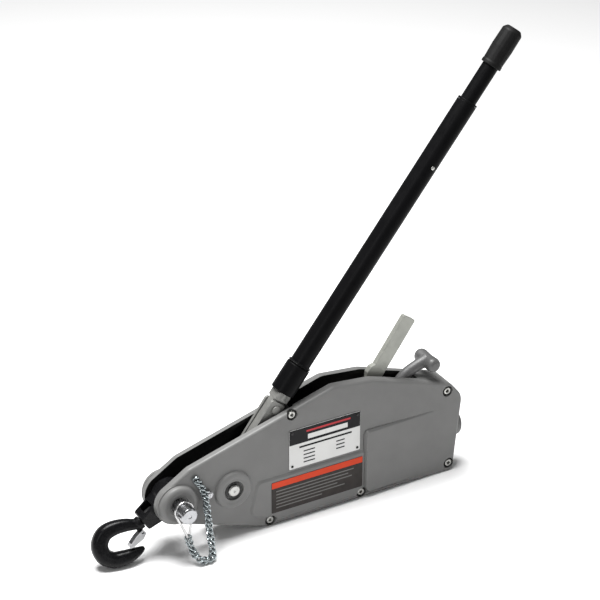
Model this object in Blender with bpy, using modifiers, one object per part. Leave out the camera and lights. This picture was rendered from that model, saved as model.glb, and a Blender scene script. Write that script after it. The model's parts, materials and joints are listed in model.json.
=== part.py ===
"""Wire rope grip puller: a lever hoist that pulls a wire rope through itself with two pairs of jaws.

Units are metres and Z is up. X runs along the case with the hook at -X and the rope guide at +X.
The origin is the centre of the flat base, and the levers and the hook swing about axes along Y.
"""

import math

import bmesh
import bpy
from mathutils import Matrix, Vector

# ---------------------------------------------------------------- driving dimensions
GAP = 0.0003                      # clearance between neighbouring pieces
CASE_HALF_WIDTH = 0.026
CASE_SIDE = 0.004                 # thickness of a half's side
CASE_RIM = 0.006                  # thickness of its edge wall
CASE_EDGE = 0.003                 # rounding of its outer edge
SEAM_Y = -0.002                   # plane where the two halves meet
SLOT_HALF_WIDTH = 0.015           # slot along the top for the levers
SLOT_REAR_X = 0.106
CAVITY_FRONT_X = -0.262

MAIN_AXIS = (-0.2263, 0.0868)     # (x, z) of the main shaft
ANCHOR_AXIS = (-0.3185, 0.0895)   # (x, z) of the anchor pin
REVERSE_AXIS = (0.0020, 0.1510)
RELEASE_AXIS = (0.0660, 0.1430)
MAIN_SHAFT_RADIUS = 0.0097
ANCHOR_PIN_RADIUS = 0.0125
PIVOT_RADIUS = 0.008

ROPE_RADIUS = 0.0055
ROPE_TILT = math.radians(6.2)     # the rope rises towards the hook and leaves above the anchor pin
GUIDE_MOUTH = (0.1667, 0.0, 0.071)
GUIDE_END = 0.0200                # end of the guide's collar, along the rope from its mouth
GUIDE_BORE_RADIUS = 0.0070
GUIDE_COLLAR_RADIUS = 0.0195
ROPE_LINE = Matrix.Translation(GUIDE_MOUTH) @ Matrix.Rotation(ROPE_TILT, 4, "Y")

LEVER_ANGLE = math.radians(52.0)  # forward lever and handle above +X
CRANK_RADIUS = 0.030
JAW_FRAME_LENGTH = 0.076
JAW_FRONT_WALL = 0.012            # end wall that carries the jaw pin
JAW_REAR_WALL = 0.008
FRONT_JAW_START = -0.330          # front ends of the jaw frames, along the rope from the guide
REAR_JAW_START = -0.110
FRONT_JAW_PIN = -0.0215           # heights of the jaw pins above the rope
REAR_JAW_PIN = 0.0280
EYE_OFFSET = 0.0013               # halfway between a rod's highest and lowest place on its jaw pin
SOCKET_START = 0.1615             # distances along the lever from the main shaft
SOCKET_END = 0.2085
LEVER_HALF_WIDTH = 0.0108
TUBE_END = 0.671
GRIP_START = 0.735
GRIP_END = 0.800
TUBE_RADIUS = 0.016
INNER_TUBE_RADIUS = 0.0127
INNER_TUBE_START = 0.420

REVERSE_ANGLE = math.radians(54.8)
REVERSE_ARM = 0.0452
REVERSE_REACH = 0.160

YOKE_ANGLE = math.radians(30.6)   # yoke and hook below -X
HOOK_SWIVEL = math.radians(22.0)
YOKE_HALF_WIDTH = 0.0140

BOLTS = {                         # (x, z) of the case bolts
    "front": (-0.1622, 0.0108),
    "middle": (-0.0015, 0.0108),
    "rear": (0.1590, 0.0140),
    "top_rear": (0.1530, 0.1463),
    "top_front": (-0.1240, 0.1848),
}
BOLT_RADIUS = 0.004
BOLT_HEAD_RADIUS = 0.0066
COUNTERBORE_RADIUS = 0.0085
COUNTERBORE_DEPTH = 0.006

# (x, z, corner radius) round the case, from the front of the base to the nose
CASE_CORNERS = [
    (-0.1670, 0.0000, 0.020),
    (0.1675, 0.0000, 0.009),
    (0.1815, 0.1310, 0.026),
    (0.1590, 0.1590, 0.028),
    (0.0160, 0.2060, 0.040),
    (-0.0520, 0.2130, 0.025),
    (-0.2980, 0.1420, 0.020),
]
NOSE_RADIUS = 0.034
NOSE_START = math.radians(130.0)
NOSE_END = math.radians(251.0)

SHEAR_PINS = (0.090, 0.1335)      # distances along the lever
CHAIN_SCREW = (-0.2685, 0.0930)
# route of the chain's centre line, from the screw's eye to the clip's tail
CHAIN_ROUTE = [
    (-0.2885, -0.0300, 0.1240),
    (-0.2820, -0.0318, 0.1120),
    (-0.2770, -0.0345, 0.0960),
    (-0.2765, -0.0400, 0.0700),
    (-0.2775, -0.0480, 0.0400),
    (-0.2790, -0.0580, 0.0160),
    (-0.2830, -0.0660, 0.0052),
    (-0.2920, -0.0690, 0.0034),
    (-0.3020, -0.0660, 0.0060),
    (-0.3080, -0.0580, 0.0150),
    (-0.3110, -0.0500, 0.0280),
    (-0.3125, -0.0468, 0.0370),
]

LATCH_EAR = (0.0660, -0.0135)     # (distance, offset) of the latch pin on the hook
LATCH_REST = (0.0930, -0.0170)    # where the latch's tongue points
HOOK_SPINE = [                    # (distance, offset, section radius) down the hook
    (0.0620, 0.0010, 0.0088),
    (0.0680, 0.0045, 0.0094),
    (0.0780, 0.0120, 0.0108),
    (0.0940, 0.0205, 0.0122),
    (0.1110, 0.0230, 0.0134),
    (0.1260, 0.0140, 0.0140),
    (0.1310, -0.0020, 0.0140),
    (0.1240, -0.0165, 0.0130),
    (0.1105, -0.0250, 0.0122),
    (0.0980, -0.0298, 0.0102),
    (0.0875, -0.0325, 0.0074),
    (0.0805, -0.0335, 0.0046),
]

GREY = (0.18, 0.18, 0.175)
STEEL = (0.42, 0.42, 0.41)
ZINC = (0.55, 0.56, 0.57)
BARE = (0.36, 0.36, 0.34)
BLACK = (0.012, 0.012, 0.013)
RUBBER = (0.02, 0.02, 0.02)


# ---------------------------------------------------------------- helpers
def collection(name):
    made = bpy.data.collections.new(name)
    bpy.context.scene.collection.children.link(made)
    return made


def material(name, colour, roughness, metallic):
    made = bpy.data.materials.new(name)
    made.use_nodes = True
    shader = made.node_tree.nodes["Principled BSDF"]
    shader.inputs["Base Color"].default_value = (*colour, 1.0)
    shader.inputs["Roughness"].default_value = roughness
    shader.inputs["Metallic"].default_value = metallic
    return made


def move_to(obj, target):
    for old in list(obj.users_collection):
        old.objects.unlink(obj)
    target.objects.link(obj)


def bake_transform(obj):
    """Write rotation and scale into the mesh and keep the location."""
    keep = Matrix.Translation(obj.location)
    obj.data.transform(keep.inverted() @ obj.matrix_basis)
    obj.matrix_basis = keep


def mesh_from_curve(curve_obj, name):
    """A mesh object with the shape of a curve, its caps welded on."""
    bpy.context.view_layer.update()
    graph = bpy.context.evaluated_depsgraph_get()
    mesh = bpy.data.meshes.new_from_object(curve_obj.evaluated_get(graph))
    work = bmesh.new()
    work.from_mesh(mesh)
    bmesh.ops.remove_doubles(work, verts=work.verts, dist=0.00002)
    bmesh.ops.recalc_face_normals(work, faces=work.faces)
    work.to_mesh(mesh)
    work.free()
    made = bpy.data.objects.new(name, mesh)
    made.matrix_world = curve_obj.matrix_world
    PARTS.objects.link(made)
    bpy.data.objects.remove(curve_obj)
    return made


def arc(centre, radius, start, end, steps):
    """Points on a circle, from one angle to another."""
    angles = [start + (end - start) * i / steps for i in range(steps + 1)]
    return [(centre[0] + radius * math.cos(a), centre[1] + radius * math.sin(a)) for a in angles]


def rounded(corners, steps=4):
    """Replace each (x, z, radius) corner of a closed outline by an arc."""
    points = []
    count = len(corners)
    for i, (x, z, radius) in enumerate(corners):
        here = Vector((x, z))
        back = (Vector(corners[i - 1][:2]) - here).normalized()
        ahead = (Vector(corners[(i + 1) % count][:2]) - here).normalized()
        if radius == 0:
            points.append((x, z))
            continue
        half = back.angle(ahead) / 2
        reach = radius / math.tan(half)
        centre = here + (back + ahead).normalized() * radius / math.sin(half)
        first = here + back * reach - centre
        last = here + ahead * reach - centre
        start = math.atan2(first.y, first.x)
        sweep = math.remainder(math.atan2(last.y, last.x) - start, 2 * math.pi)
        points += arc(centre, radius, start, start + sweep, steps)
    return points


def plate(name, outline, y_low, y_high):
    """A flat piece with an outline of (x, z) points, between two Y planes."""
    curve = bpy.data.curves.new(name, "CURVE")
    curve.dimensions = "2D"
    curve.fill_mode = "BOTH"
    curve.extrude = (y_high - y_low) / 2
    spline = curve.splines.new("POLY")
    spline.points.add(len(outline) - 1)
    for point, (x, z) in zip(spline.points, outline):
        point.co = (x, z, 0, 1)
    spline.use_cyclic_u = True
    holder = bpy.data.objects.new(name + "_outline", curve)
    holder.matrix_world = (Matrix.Translation((0, (y_low + y_high) / 2, 0))
                           @ Matrix.Rotation(math.pi / 2, 4, "X"))
    PARTS.objects.link(holder)
    return mesh_from_curve(holder, name)


def block(name, low, high):
    size = [b - a for a, b in zip(low, high)]
    middle = [(a + b) / 2 for a, b in zip(low, high)]
    bpy.ops.mesh.primitive_cube_add(size=1, location=middle, scale=size)
    made = bpy.context.object
    made.name = name
    bake_transform(made)
    move_to(made, PARTS)
    return made


def rod(name, start, end, radius, sides=24):
    """A cylinder from one point to another."""
    start, end = Vector(start), Vector(end)
    run = end - start
    turn = run.to_track_quat("Z", "Y").to_euler()
    bpy.ops.mesh.primitive_cylinder_add(
        vertices=sides, radius=radius, depth=run.length, location=(start + end) / 2, rotation=turn)
    made = bpy.context.object
    made.name = name
    bake_transform(made)
    move_to(made, PARTS)
    return made


def cross_rod(name, axis, y_low, y_high, radius, sides=24):
    """A cylinder along Y at an (x, z) axis."""
    return rod(name, (axis[0], y_low, axis[1]), (axis[0], y_high, axis[1]), radius, sides)


def turned(name, profile, place, steps=24):
    """Turn (radius, height) points about the local Z axis; place puts that axis in the world."""
    mesh = bpy.data.meshes.new(name)
    closed = profile[0][0] > 0
    edges = [(i, i + 1) for i in range(len(profile) - 1)]
    if closed:
        edges.append((len(profile) - 1, 0))
    mesh.from_pydata([(r, 0, h) for r, h in profile], edges, [])
    made = bpy.data.objects.new(name, mesh)
    made.matrix_world = place
    PARTS.objects.link(made)
    screw = made.modifiers.new("turn", "SCREW")
    screw.steps = steps
    screw.render_steps = steps
    screw.use_merge_vertices = True
    screw.merge_threshold = 0.00001
    return made


def along(origin, direction):
    """A matrix whose Z axis is a direction and whose origin is a point."""
    turn = Vector(direction).to_track_quat("Z", "Y").to_matrix().to_4x4()
    return Matrix.Translation(origin) @ turn


def boolean(obj, other, operation):
    tool = obj.modifiers.new(operation.lower(), "BOOLEAN")
    tool.operation = operation
    tool.solver = "EXACT"
    tool.object = other
    other.hide_render = True
    other.display_type = "WIRE"
    if other.name in PARTS.objects:
        move_to(other, CUTTERS)


def cut(obj, *others):
    for other in others:
        boolean(obj, other, "DIFFERENCE")


def add(obj, *others):
    for other in others:
        boolean(obj, other, "UNION")


def soften(obj, width, segments=2):
    bevel = obj.modifiers.new("edge", "BEVEL")
    bevel.width = width
    bevel.segments = segments
    bevel.limit_method = "ANGLE"
    bevel.angle_limit = math.radians(50)


def wire(name, points, radius, cyclic=False, resolution=2):
    """A round wire through 3-D points."""
    curve = bpy.data.curves.new(name, "CURVE")
    curve.dimensions = "3D"
    curve.bevel_depth = radius
    curve.bevel_resolution = resolution
    curve.use_fill_caps = True
    spline = curve.splines.new("POLY")
    spline.points.add(len(points) - 1)
    for point, place in zip(spline.points, points):
        point.co = (*place[:3], 1)
        point.radius = place[3] if len(place) > 3 else 1
    spline.use_cyclic_u = cyclic
    holder = bpy.data.objects.new(name + "_wire", curve)
    PARTS.objects.link(holder)
    return mesh_from_curve(holder, name)


def smooth_path(points, steps):
    """Catmull-Rom points through a hand-chosen route, of any number of values each."""
    path = []
    last = len(points) - 1
    for i in range(last):
        knots = [points[max(i - 1, 0)], points[i], points[i + 1], points[min(i + 2, last)]]
        for k in range(steps):
            t = k / steps
            weights = (-t + 2 * t * t - t ** 3, 2 - 5 * t * t + 3 * t ** 3,
                       t + 4 * t * t - 3 * t ** 3, -t * t + t ** 3)
            path.append(tuple(sum(w * q[n] for w, q in zip(weights, knots)) / 2
                              for n in range(len(points[0]))))
    path.append(tuple(points[-1]))
    return path


def finish(obj, colour_material, pivot):
    """Give a piece its material and hang it on its body's pivot, in place."""
    obj.data.materials.clear()
    obj.data.materials.append(colour_material)
    obj.data.shade_smooth()
    obj.data.set_sharp_from_angle(angle=math.radians(35))
    bpy.context.view_layer.update()
    world = obj.matrix_world.copy()
    obj.parent = pivot
    obj.matrix_parent_inverse = pivot.matrix_world.inverted()
    obj.matrix_world = world


def pivot_at(name, x, y, z):
    empty = bpy.data.objects.new(name, None)
    empty.empty_display_size = 0.02
    empty.location = (x, y, z)
    PARTS.objects.link(empty)
    bpy.context.view_layer.update()
    return empty


def lever_point(distance, offset=0.0):
    """(x, z) at a distance along the forward lever from the main shaft and to its left."""
    c, s = math.cos(LEVER_ANGLE), math.sin(LEVER_ANGLE)
    return (MAIN_AXIS[0] + distance * c - offset * s, MAIN_AXIS[1] + distance * s + offset * c)


def reverse_point(distance, offset=0.0):
    c, s = math.cos(REVERSE_ANGLE), math.sin(REVERSE_ANGLE)
    return (REVERSE_AXIS[0] + distance * c - offset * s,
            REVERSE_AXIS[1] + distance * s + offset * c)


def yoke_point(distance, offset=0.0, y=0.0):
    """A world point at a distance down the yoke from the anchor pin, and up and left of its axis."""
    c, s = math.cos(YOKE_ANGLE), math.sin(YOKE_ANGLE)
    return Vector((ANCHOR_AXIS[0] - distance * c - offset * s, y,
                   ANCHOR_AXIS[1] - distance * s + offset * c))


def hook_point(distance, offset, side=0.0):
    """A world point in the hook's own plane, which is swivelled about the yoke's axis."""
    across = offset * math.cos(HOOK_SWIVEL) + side * math.sin(HOOK_SWIVEL)
    sideways = offset * math.sin(HOOK_SWIVEL) - side * math.cos(HOOK_SWIVEL)
    return yoke_point(distance, across, sideways)


def rope_point(along, height=0.0):
    """A world point along the rope from the guide's mouth, and above the rope."""
    return ROPE_LINE @ Vector((along, 0, height))


def lever_line(distance):
    x, z = lever_point(distance)
    return Vector((x, 0, z))


# ---------------------------------------------------------------- case
def case_outline():
    nose = arc(ANCHOR_AXIS, NOSE_RADIUS, NOSE_START, NOSE_END, 12)
    return rounded([*CASE_CORNERS, (*nose[0], 0), (*nose[-1], 0)])[:-2] + nose


def cavity_outline():
    """The case's outline moved in by the wall, closed off behind the nose."""
    rim = CASE_RIM
    (x0, _, _), (x1, _, r1), (x2, z2, r2), (x3, z3, r3), (x4, z4, _), (x5, z5, _), _ = CASE_CORNERS
    slope_front = (CASE_CORNERS[5][1] - CASE_CORNERS[6][1]) / (x5 - CASE_CORNERS[6][0])
    top_front = z5 - slope_front * (x5 - CAVITY_FRONT_X) - rim * 1.1
    low_front = 0.034 + rim
    return rounded([
        (x0 + 0.002, rim, 0.020),
        (x1 - rim, rim, 0.004),
        (x2 - rim, z2 - 0.004, r2),
        (x3 - 0.004, z3 - rim, r3),
        (x4, z4 - rim, 0.030),
        (x5, z5 - rim, 0.020),
        (CAVITY_FRONT_X, top_front, 0.004),
        (CAVITY_FRONT_X, low_front, 0.004),
    ], 3)


def relief_panel(name, face_y, out):
    """The cast panel behind the plates: proud at its front end and flush with the side at the rear."""
    proud = 0.0026
    rear_x, front_x, low_z, high_z = 0.136, 0.002, 0.006, 0.120
    panel = block(name, (front_x, -0.004, low_z), (rear_x, 0.004, high_z))
    tilt = math.atan2(proud, rear_x - front_x) * out
    middle = Vector(((front_x + rear_x) / 2, 0, (low_z + high_z) / 2))
    panel.data.transform(Matrix.Rotation(-tilt, 4, "Z"))
    panel.location = (middle.x, face_y + out * (proud / 2 - 0.004), middle.z)
    return panel


def build_case(name, out):
    """One cast half. out is -1 for the near half and +1 for the far one."""
    outer = CASE_HALF_WIDTH
    shell = plate(name, case_outline(), -outer, outer)
    soften(shell, CASE_EDGE, 1)
    seam = SEAM_Y + out * GAP / 2
    inner = outer - CASE_SIDE
    face = out * outer
    inside = out * (outer - 0.002)
    removed = [
        block(name + "_seam_cutter", (-0.5, min(seam, -out * 0.1), -0.1),
              (0.5, max(seam, -out * 0.1), 0.4)),
        plate(name + "_cavity", cavity_outline(), -inner, inner),
        block(name + "_slot", (-0.45, -SLOT_HALF_WIDTH, 0.100),
              (SLOT_REAR_X, SLOT_HALF_WIDTH, 0.30)),
        block(name + "_mouth", (-0.45, -SLOT_HALF_WIDTH, -0.05),
              (CAVITY_FRONT_X + 0.002, SLOT_HALF_WIDTH, 0.30)),
    ]
    added = [
        cross_rod(name + "_shaft_boss", MAIN_AXIS, inside, face + out * 0.006, 0.031, 24),
        cross_rod(name + "_pin_boss", ANCHOR_AXIS, inside, face + out * 0.009, 0.032, 24),
        relief_panel(name + "_panel", face, out),
        plate(name + "_band", rounded([
            (-0.150, 0.007, 0.004), (0.004, 0.007, 0.004), (0.004, 0.086, 0.004),
            (-0.184, 0.086, 0.010), (-0.200, 0.030, 0.010)]), *sorted((inside, face + out * 0.0012))),
    ]
    for where, axis in BOLTS.items():
        radius = 0.0066 if where == "top_front" else 0.0098
        added.append(cross_rod(f"{name}_post_{where}", axis, seam + out * GAP, inside, radius, 12))
    for label, axis in (("reverse", REVERSE_AXIS), ("release", RELEASE_AXIS)):
        added.append(cross_rod(f"{name}_{label}_boss", axis, out * 0.0165, inside, 0.013, 12))

    bores = [
        cross_rod(name + "_shaft_bore", MAIN_AXIS, -0.05, 0.05, MAIN_SHAFT_RADIUS + GAP, 20),
        cross_rod(name + "_shaft_recess", MAIN_AXIS, face + out * 0.001, out * 0.05, 0.0165, 20),
        cross_rod(name + "_pin_bore", ANCHOR_AXIS, -0.05, 0.05, ANCHOR_PIN_RADIUS + GAP, 20),
        cross_rod(name + "_reverse_bore", REVERSE_AXIS, 0, out * 0.0235, PIVOT_RADIUS + GAP, 16),
        cross_rod(name + "_release_bore", RELEASE_AXIS, 0, out * 0.0235, PIVOT_RADIUS + GAP, 16),
        rod(name + "_guide_bore", rope_point(-0.06), rope_point(0.06), 0.0120 + GAP, 20),
        rod(name + "_guide_seat", rope_point(0.0052), rope_point(0.06),
            GUIDE_COLLAR_RADIUS + GAP, 20),
    ]
    for where, axis in BOLTS.items():
        bores.append(cross_rod(f"{name}_bolt_{where}", axis, -0.05, 0.05, BOLT_RADIUS + GAP, 10))
        bores.append(cross_rod(f"{name}_counterbore_{where}", axis, face - out * COUNTERBORE_DEPTH,
                               out * 0.05, COUNTERBORE_RADIUS, 14))
    if out < 0:
        bores.append(cross_rod(name + "_screw_hole", CHAIN_SCREW, -0.05, -0.018, 0.0028, 12))

    cut(shell, *removed)
    add(shell, *added)
    cut(shell, *bores)
    return shell


def build_fasteners(root):
    bolt_steel = material("bolt_steel", BARE, 0.4, 1.0)
    face = CASE_HALF_WIDTH
    for where, axis in BOLTS.items():
        head_y = -face + COUNTERBORE_DEPTH - GAP
        head = cross_rod("bolt_" + where, axis, -face + 0.0012, head_y, BOLT_HEAD_RADIUS, 14)
        add(head, cross_rod(f"bolt_{where}_shank", axis, head_y - 0.001, 0.0242, BOLT_RADIUS, 10))
        cut(head, cross_rod(f"bolt_{where}_socket", axis, -0.05, -face + 0.0045, 0.0032, 6))
        finish(head, bolt_steel, root)
        nut = cross_rod("nut_" + where, axis, face - COUNTERBORE_DEPTH + GAP, face - 0.0008,
                        0.0072, 6)
        cut(nut, cross_rod(f"nut_{where}_thread", axis, 0, 0.05, BOLT_RADIUS + GAP, 10))
        finish(nut, bolt_steel, root)


def build_shafts(root):
    steel = material("shaft_steel", STEEL, 0.3, 1.0)
    shaft = cross_rod("main_shaft", MAIN_AXIS, -0.0325, 0.0325, MAIN_SHAFT_RADIUS, 20)
    soften(shaft, 0.0008, 1)
    finish(shaft, steel, root)
    spring_steel = material("circlip_steel", BARE, 0.35, 1.0)
    for side, out in (("near", -1), ("far", 1)):
        low, high = sorted((out * 0.0274, out * 0.0290))
        ring = cross_rod("circlip_" + side, MAIN_AXIS, low, high, 0.0142, 18)
        cut(ring, cross_rod(f"circlip_{side}_hole", MAIN_AXIS, -0.05, 0.05,
                            MAIN_SHAFT_RADIUS + GAP, 18))
        mouth = block(f"circlip_{side}_mouth", (-0.003, -0.05, 0.0), (0.003, 0.05, 0.03))
        mouth.location += Vector((MAIN_AXIS[0], 0, MAIN_AXIS[1]))
        cut(ring, mouth)
        finish(ring, spring_steel, root)
    for name, axis in (("reverse_shaft", REVERSE_AXIS), ("release_shaft", RELEASE_AXIS)):
        finish(cross_rod(name, axis, -0.0232, 0.0232, PIVOT_RADIUS, 16), steel, root)

    pin = turned("anchor_pin", [
        (0.0, 0.0660), (0.0115, 0.0660), (0.0132, 0.0643), (0.0132, 0.0500), (0.0105, 0.0490),
        (0.0105, 0.0440), (ANCHOR_PIN_RADIUS, 0.0430), (ANCHOR_PIN_RADIUS, -0.0354),
        (0.0180, -0.0354), (0.0180, -0.0400), (0.0165, -0.0415), (0.0, -0.0415)],
        along((ANCHOR_AXIS[0], 0, ANCHOR_AXIS[1]), (0, -1, 0)), 18)
    finish(pin, material("pin_zinc", ZINC, 0.3, 1.0), root)


def build_clip_and_chain(root):
    zinc = material("clip_zinc", ZINC, 0.3, 1.0)
    x, z = ANCHOR_AXIS
    plane = -0.0465
    ring_radius = 0.0140
    tail = Vector((x + 0.0060, plane + 0.001, z - 0.0480))
    open_from = math.radians(-10)
    open_to = math.radians(204)
    loop = [(px, plane, pz) for px, pz in arc(ANCHOR_AXIS, ring_radius, open_from, open_to, 14)]
    path = [tuple(tail + Vector((0.0012, 0, 0.001))), *loop, tuple(tail + Vector((-0.0012, 0, 0.001)))]
    finish(wire("lock_clip", path, 0.0013, cyclic=True), zinc, root)

    chain = wire("retaining_chain", smooth_path(CHAIN_ROUTE, 3), 0.0030, resolution=1)
    finish(chain, material("chain_zinc", ZINC, 0.35, 1.0), root)

    place = along((CHAIN_SCREW[0], -0.020, CHAIN_SCREW[1]), (0, -1, 0))
    screw = turned("chain_screw", [
        (0.0, 0.0145), (0.0028, 0.0145), (0.0040, 0.0132), (0.0040, 0.0105), (0.0025, 0.0100),
        (0.0025, 0.0), (0.0, 0.0)], place, 12)
    finish(screw, material("screw_zinc", ZINC, 0.3, 1.0), root)


def build_plates(root):
    """Name plate with its four rivets and the printed label, both blank."""
    face = -CASE_HALF_WIDTH
    plate_low, plate_high = (-0.1300, 0.0905), (-0.0060, 0.1585)
    sheet = block("rating_plate", (plate_low[0], face - 0.0011, plate_low[1]),
                  (plate_high[0], face - GAP, plate_high[1]))
    inset = 0.0050
    rivet_material = material("rivet_brass", (0.45, 0.36, 0.22), 0.4, 1.0)
    for row, z in (("lower", plate_low[1] + inset), ("upper", plate_high[1] - inset)):
        for column, x in (("front", plate_low[0] + inset), ("rear", plate_high[0] - inset)):
            cut(sheet, cross_rod(f"rivet_hole_{row}_{column}", (x, z), -0.05, 0, 0.0013, 8))
            place = along((x, face, z), (0, -1, 0))
            head = turned(f"plate_rivet_{row}_{column}", [
                (0.0, 0.0026), (0.0014, 0.0022), (0.0023, 0.0014), (0.0010, 0.0014),
                (0.0010, 0.0003), (0.0, 0.0003)], place, 8)
            finish(head, rivet_material, root)
    finish(sheet, material("plate_enamel", (0.45, 0.45, 0.44), 0.35, 0.0), root)
    label = block("info_label", (-0.1620, face - 0.0012 - 0.0006, 0.0240),
                  (-0.0020, face - 0.0012 - GAP, 0.0785))
    finish(label, material("label_vinyl", (0.5, 0.06, 0.03), 0.5, 0.0), root)


def build_guide(root):
    collar, tube, bore, inner = GUIDE_COLLAR_RADIUS, 0.0120, GUIDE_BORE_RADIUS, -0.0307
    guide = turned("rope_guide", [
        (collar, GUIDE_END - 0.002), (collar, 0.0055), (tube, 0.0055), (tube, inner),
        (bore + 0.001, inner), (bore, inner + 0.002), (bore, GUIDE_END - 0.003),
        (bore + 0.003, GUIDE_END), (collar - 0.002, GUIDE_END)],
        along(GUIDE_MOUTH, rope_point(1) - rope_point(0)), 20)
    finish(guide, material("guide_iron", GREY, 0.5, 0.4), root)


# ---------------------------------------------------------------- forward lever and handle
def lever_plate_outline():
    """Outline of a crank plate: an eye below, the shaft in the middle, and the lever's cheek above."""
    eye = 0.0115
    tip = CRANK_RADIUS
    points = [lever_point(-tip + eye * math.cos(a), eye * math.sin(a))
              for a in [math.radians(90 + 180 * i / 10) for i in range(11)]]
    for distance, half in ((-0.004, -0.019), (0.010, -0.019), (0.060, -0.0125), (0.142, -0.0125),
                           (0.146, -0.0090), (0.146, 0.0105), (0.1435, 0.0150), (0.100, 0.0145),
                           (0.060, 0.0130), (0.010, 0.019), (-0.004, 0.019)):
        points.append(lever_point(distance, half))
    return points


def build_lever(pivot):
    forged = material("lever_steel", (0.35, 0.35, 0.31), 0.45, 0.6)
    crank = cross_rod("forward_crank", MAIN_AXIS, -0.0105, 0.0105, 0.0165, 20)
    cheek = 0.0044
    for side, low in (("near", -LEVER_HALF_WIDTH), ("far", LEVER_HALF_WIDTH - cheek)):
        add(crank, plate(f"crank_cheek_{side}", lever_plate_outline(), low, low + cheek))
    cut(crank, cross_rod("crank_bore", MAIN_AXIS, -0.05, 0.05, MAIN_SHAFT_RADIUS + GAP, 20))
    inner, outer = LEVER_HALF_WIDTH - cheek + GAP, 0.0172
    for name, distance, low, high in (("upper_near", CRANK_RADIUS, -outer, -inner),
                                      ("upper_far", CRANK_RADIUS, inner, outer),
                                      ("lower", -CRANK_RADIUS, -outer, outer)):
        axis = lever_point(distance)
        cut(crank, cross_rod(f"crank_{name}_bore", axis, low - 0.01, high + 0.01, 0.005 + GAP, 12))
        finish(cross_rod("crank_pin_" + name, axis, low, high, 0.005, 12),
               material("crank_pin_" + name, STEEL, 0.3, 1.0), pivot)
    for distance in SHEAR_PINS:
        cut(crank, cross_rod(f"shear_bore_{distance}", lever_point(distance), -0.05, 0.05,
                             0.004 + GAP, 10))
    finish(crank, forged, pivot)

    stub_outline = [lever_point(d, w) for d, w in (
        (0.066, -0.0120), (0.1550, -0.0120), (0.1550, 0.0115), (0.066, 0.0115))]
    stub = plate("lever_stub", stub_outline, -0.0060, 0.0060)
    shoulder = [lever_point(d, w) for d, w in (
        (0.1480, -0.0130), (0.1608, -0.0130), (0.1608, 0.0122), (0.1480, 0.0122))]
    add(stub, plate("stub_shoulder", shoulder, -0.0105, 0.0105))
    add(stub, rod("stub_post", lever_line(0.1515), lever_line(0.2480), 0.0120, 24))
    for distance in SHEAR_PINS:
        cut(stub, cross_rod(f"stub_bore_{distance}", lever_point(distance), -0.05, 0.05,
                            0.004 + GAP, 10))
    finish(stub, material("stub_steel", STEEL, 0.4, 0.7), pivot)

    shear_steel = material("shear_pin_steel", ZINC, 0.35, 1.0)
    for name, distance in zip(("shear_pin_lower", "shear_pin_upper"), SHEAR_PINS):
        x, z = lever_point(distance)
        pin = turned(name, [
            (0.0, 0.0141), (0.0055, 0.0141), (0.0070, 0.0130), (0.0070, 0.0111), (0.004, 0.0111),
            (0.004, -0.0125), (0.0, -0.0125)], along((x, 0, z), (0, -1, 0)), 14)
        finish(pin, shear_steel, pivot)


def build_handle(pivot):
    black = material("handle_paint", BLACK, 0.3, 0.0)
    direction = lever_line(1) - lever_line(0)
    socket = turned("handle_socket", [
        (0.0190, SOCKET_END - 0.001), (0.0190, SOCKET_START), (0.0125, SOCKET_START),
        (0.0125, 0.1750), (TUBE_RADIUS + GAP, 0.1760), (TUBE_RADIUS + GAP, SOCKET_END)],
        along(lever_line(0), direction), 20)
    finish(socket, black, pivot)
    tube = turned("handle_tube", [
        (TUBE_RADIUS, TUBE_END), (TUBE_RADIUS, 0.1764), (0.0135, 0.1764), (0.0135, TUBE_END)],
        along(lever_line(0), direction), 20)
    stop_x, stop_z = lever_point(0.563)
    cut(tube, cross_rod("rivet_bore", (stop_x, stop_z), -0.05, 0, 0.0030 + GAP, 10))
    finish(tube, black, pivot)
    rivet = turned("handle_rivet", [
        (0.0, 0.0168), (0.0026, 0.0164), (0.0030, 0.0158), (0.0030, 0.0136), (0.0, 0.0136)],
        along((stop_x, 0, stop_z), (0, -1, 0)), 10)
    finish(rivet, material("rivet_steel", STEEL, 0.35, 1.0), pivot)


def build_inner_handle(pivot):
    direction = lever_line(1) - lever_line(0)
    inner = turned("inner_tube", [
        (INNER_TUBE_RADIUS, 0.794), (INNER_TUBE_RADIUS, INNER_TUBE_START),
        (0.0107, INNER_TUBE_START), (0.0107, 0.794)], along(lever_line(0), direction), 20)
    finish(inner, material("inner_tube_paint", BLACK, 0.3, 0.0), pivot)
    inside = INNER_TUBE_RADIUS + GAP
    grip = turned("handle_grip", [
        (0.0, GRIP_END), (0.0110, GRIP_END - 0.0004), (0.0148, GRIP_END - 0.0030),
        (0.0166, GRIP_END - 0.0080), (0.0168, 0.765), (0.0155, GRIP_START + 0.003),
        (0.0148, GRIP_START), (inside, GRIP_START), (inside, 0.7945), (0.0, 0.7945)],
        along(lever_line(0), direction), 18)
    finish(grip, material("grip_rubber", RUBBER, 0.6, 0.0), pivot)


# ---------------------------------------------------------------- rope drive
def link_plate(name, crank_axis, far_axis, slot_radius, y_low, y_high):
    """A flat rod, waisted between a close eye on the crank pin and an easy eye on the jaw pin."""
    turn = math.atan2(far_axis[1] - crank_axis[1], far_axis[0] - crank_axis[0])
    near_open, far_open = math.radians(50), math.radians(145)
    near_eye = arc(crank_axis, 0.0095, turn + near_open, turn + 2 * math.pi - near_open, 8)
    far_eye = arc(far_axis, slot_radius + 0.004, turn - far_open, turn + far_open, 9)
    bar = plate(name, near_eye + far_eye, y_low, y_high)
    cut(bar, cross_rod(name + "_eye", crank_axis, y_low - 0.01, y_high + 0.01, 0.005 + GAP, 12),
        cross_rod(name + "_loose_eye", far_axis, y_low - 0.01, y_high + 0.01, slot_radius, 12))
    return bar


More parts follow.
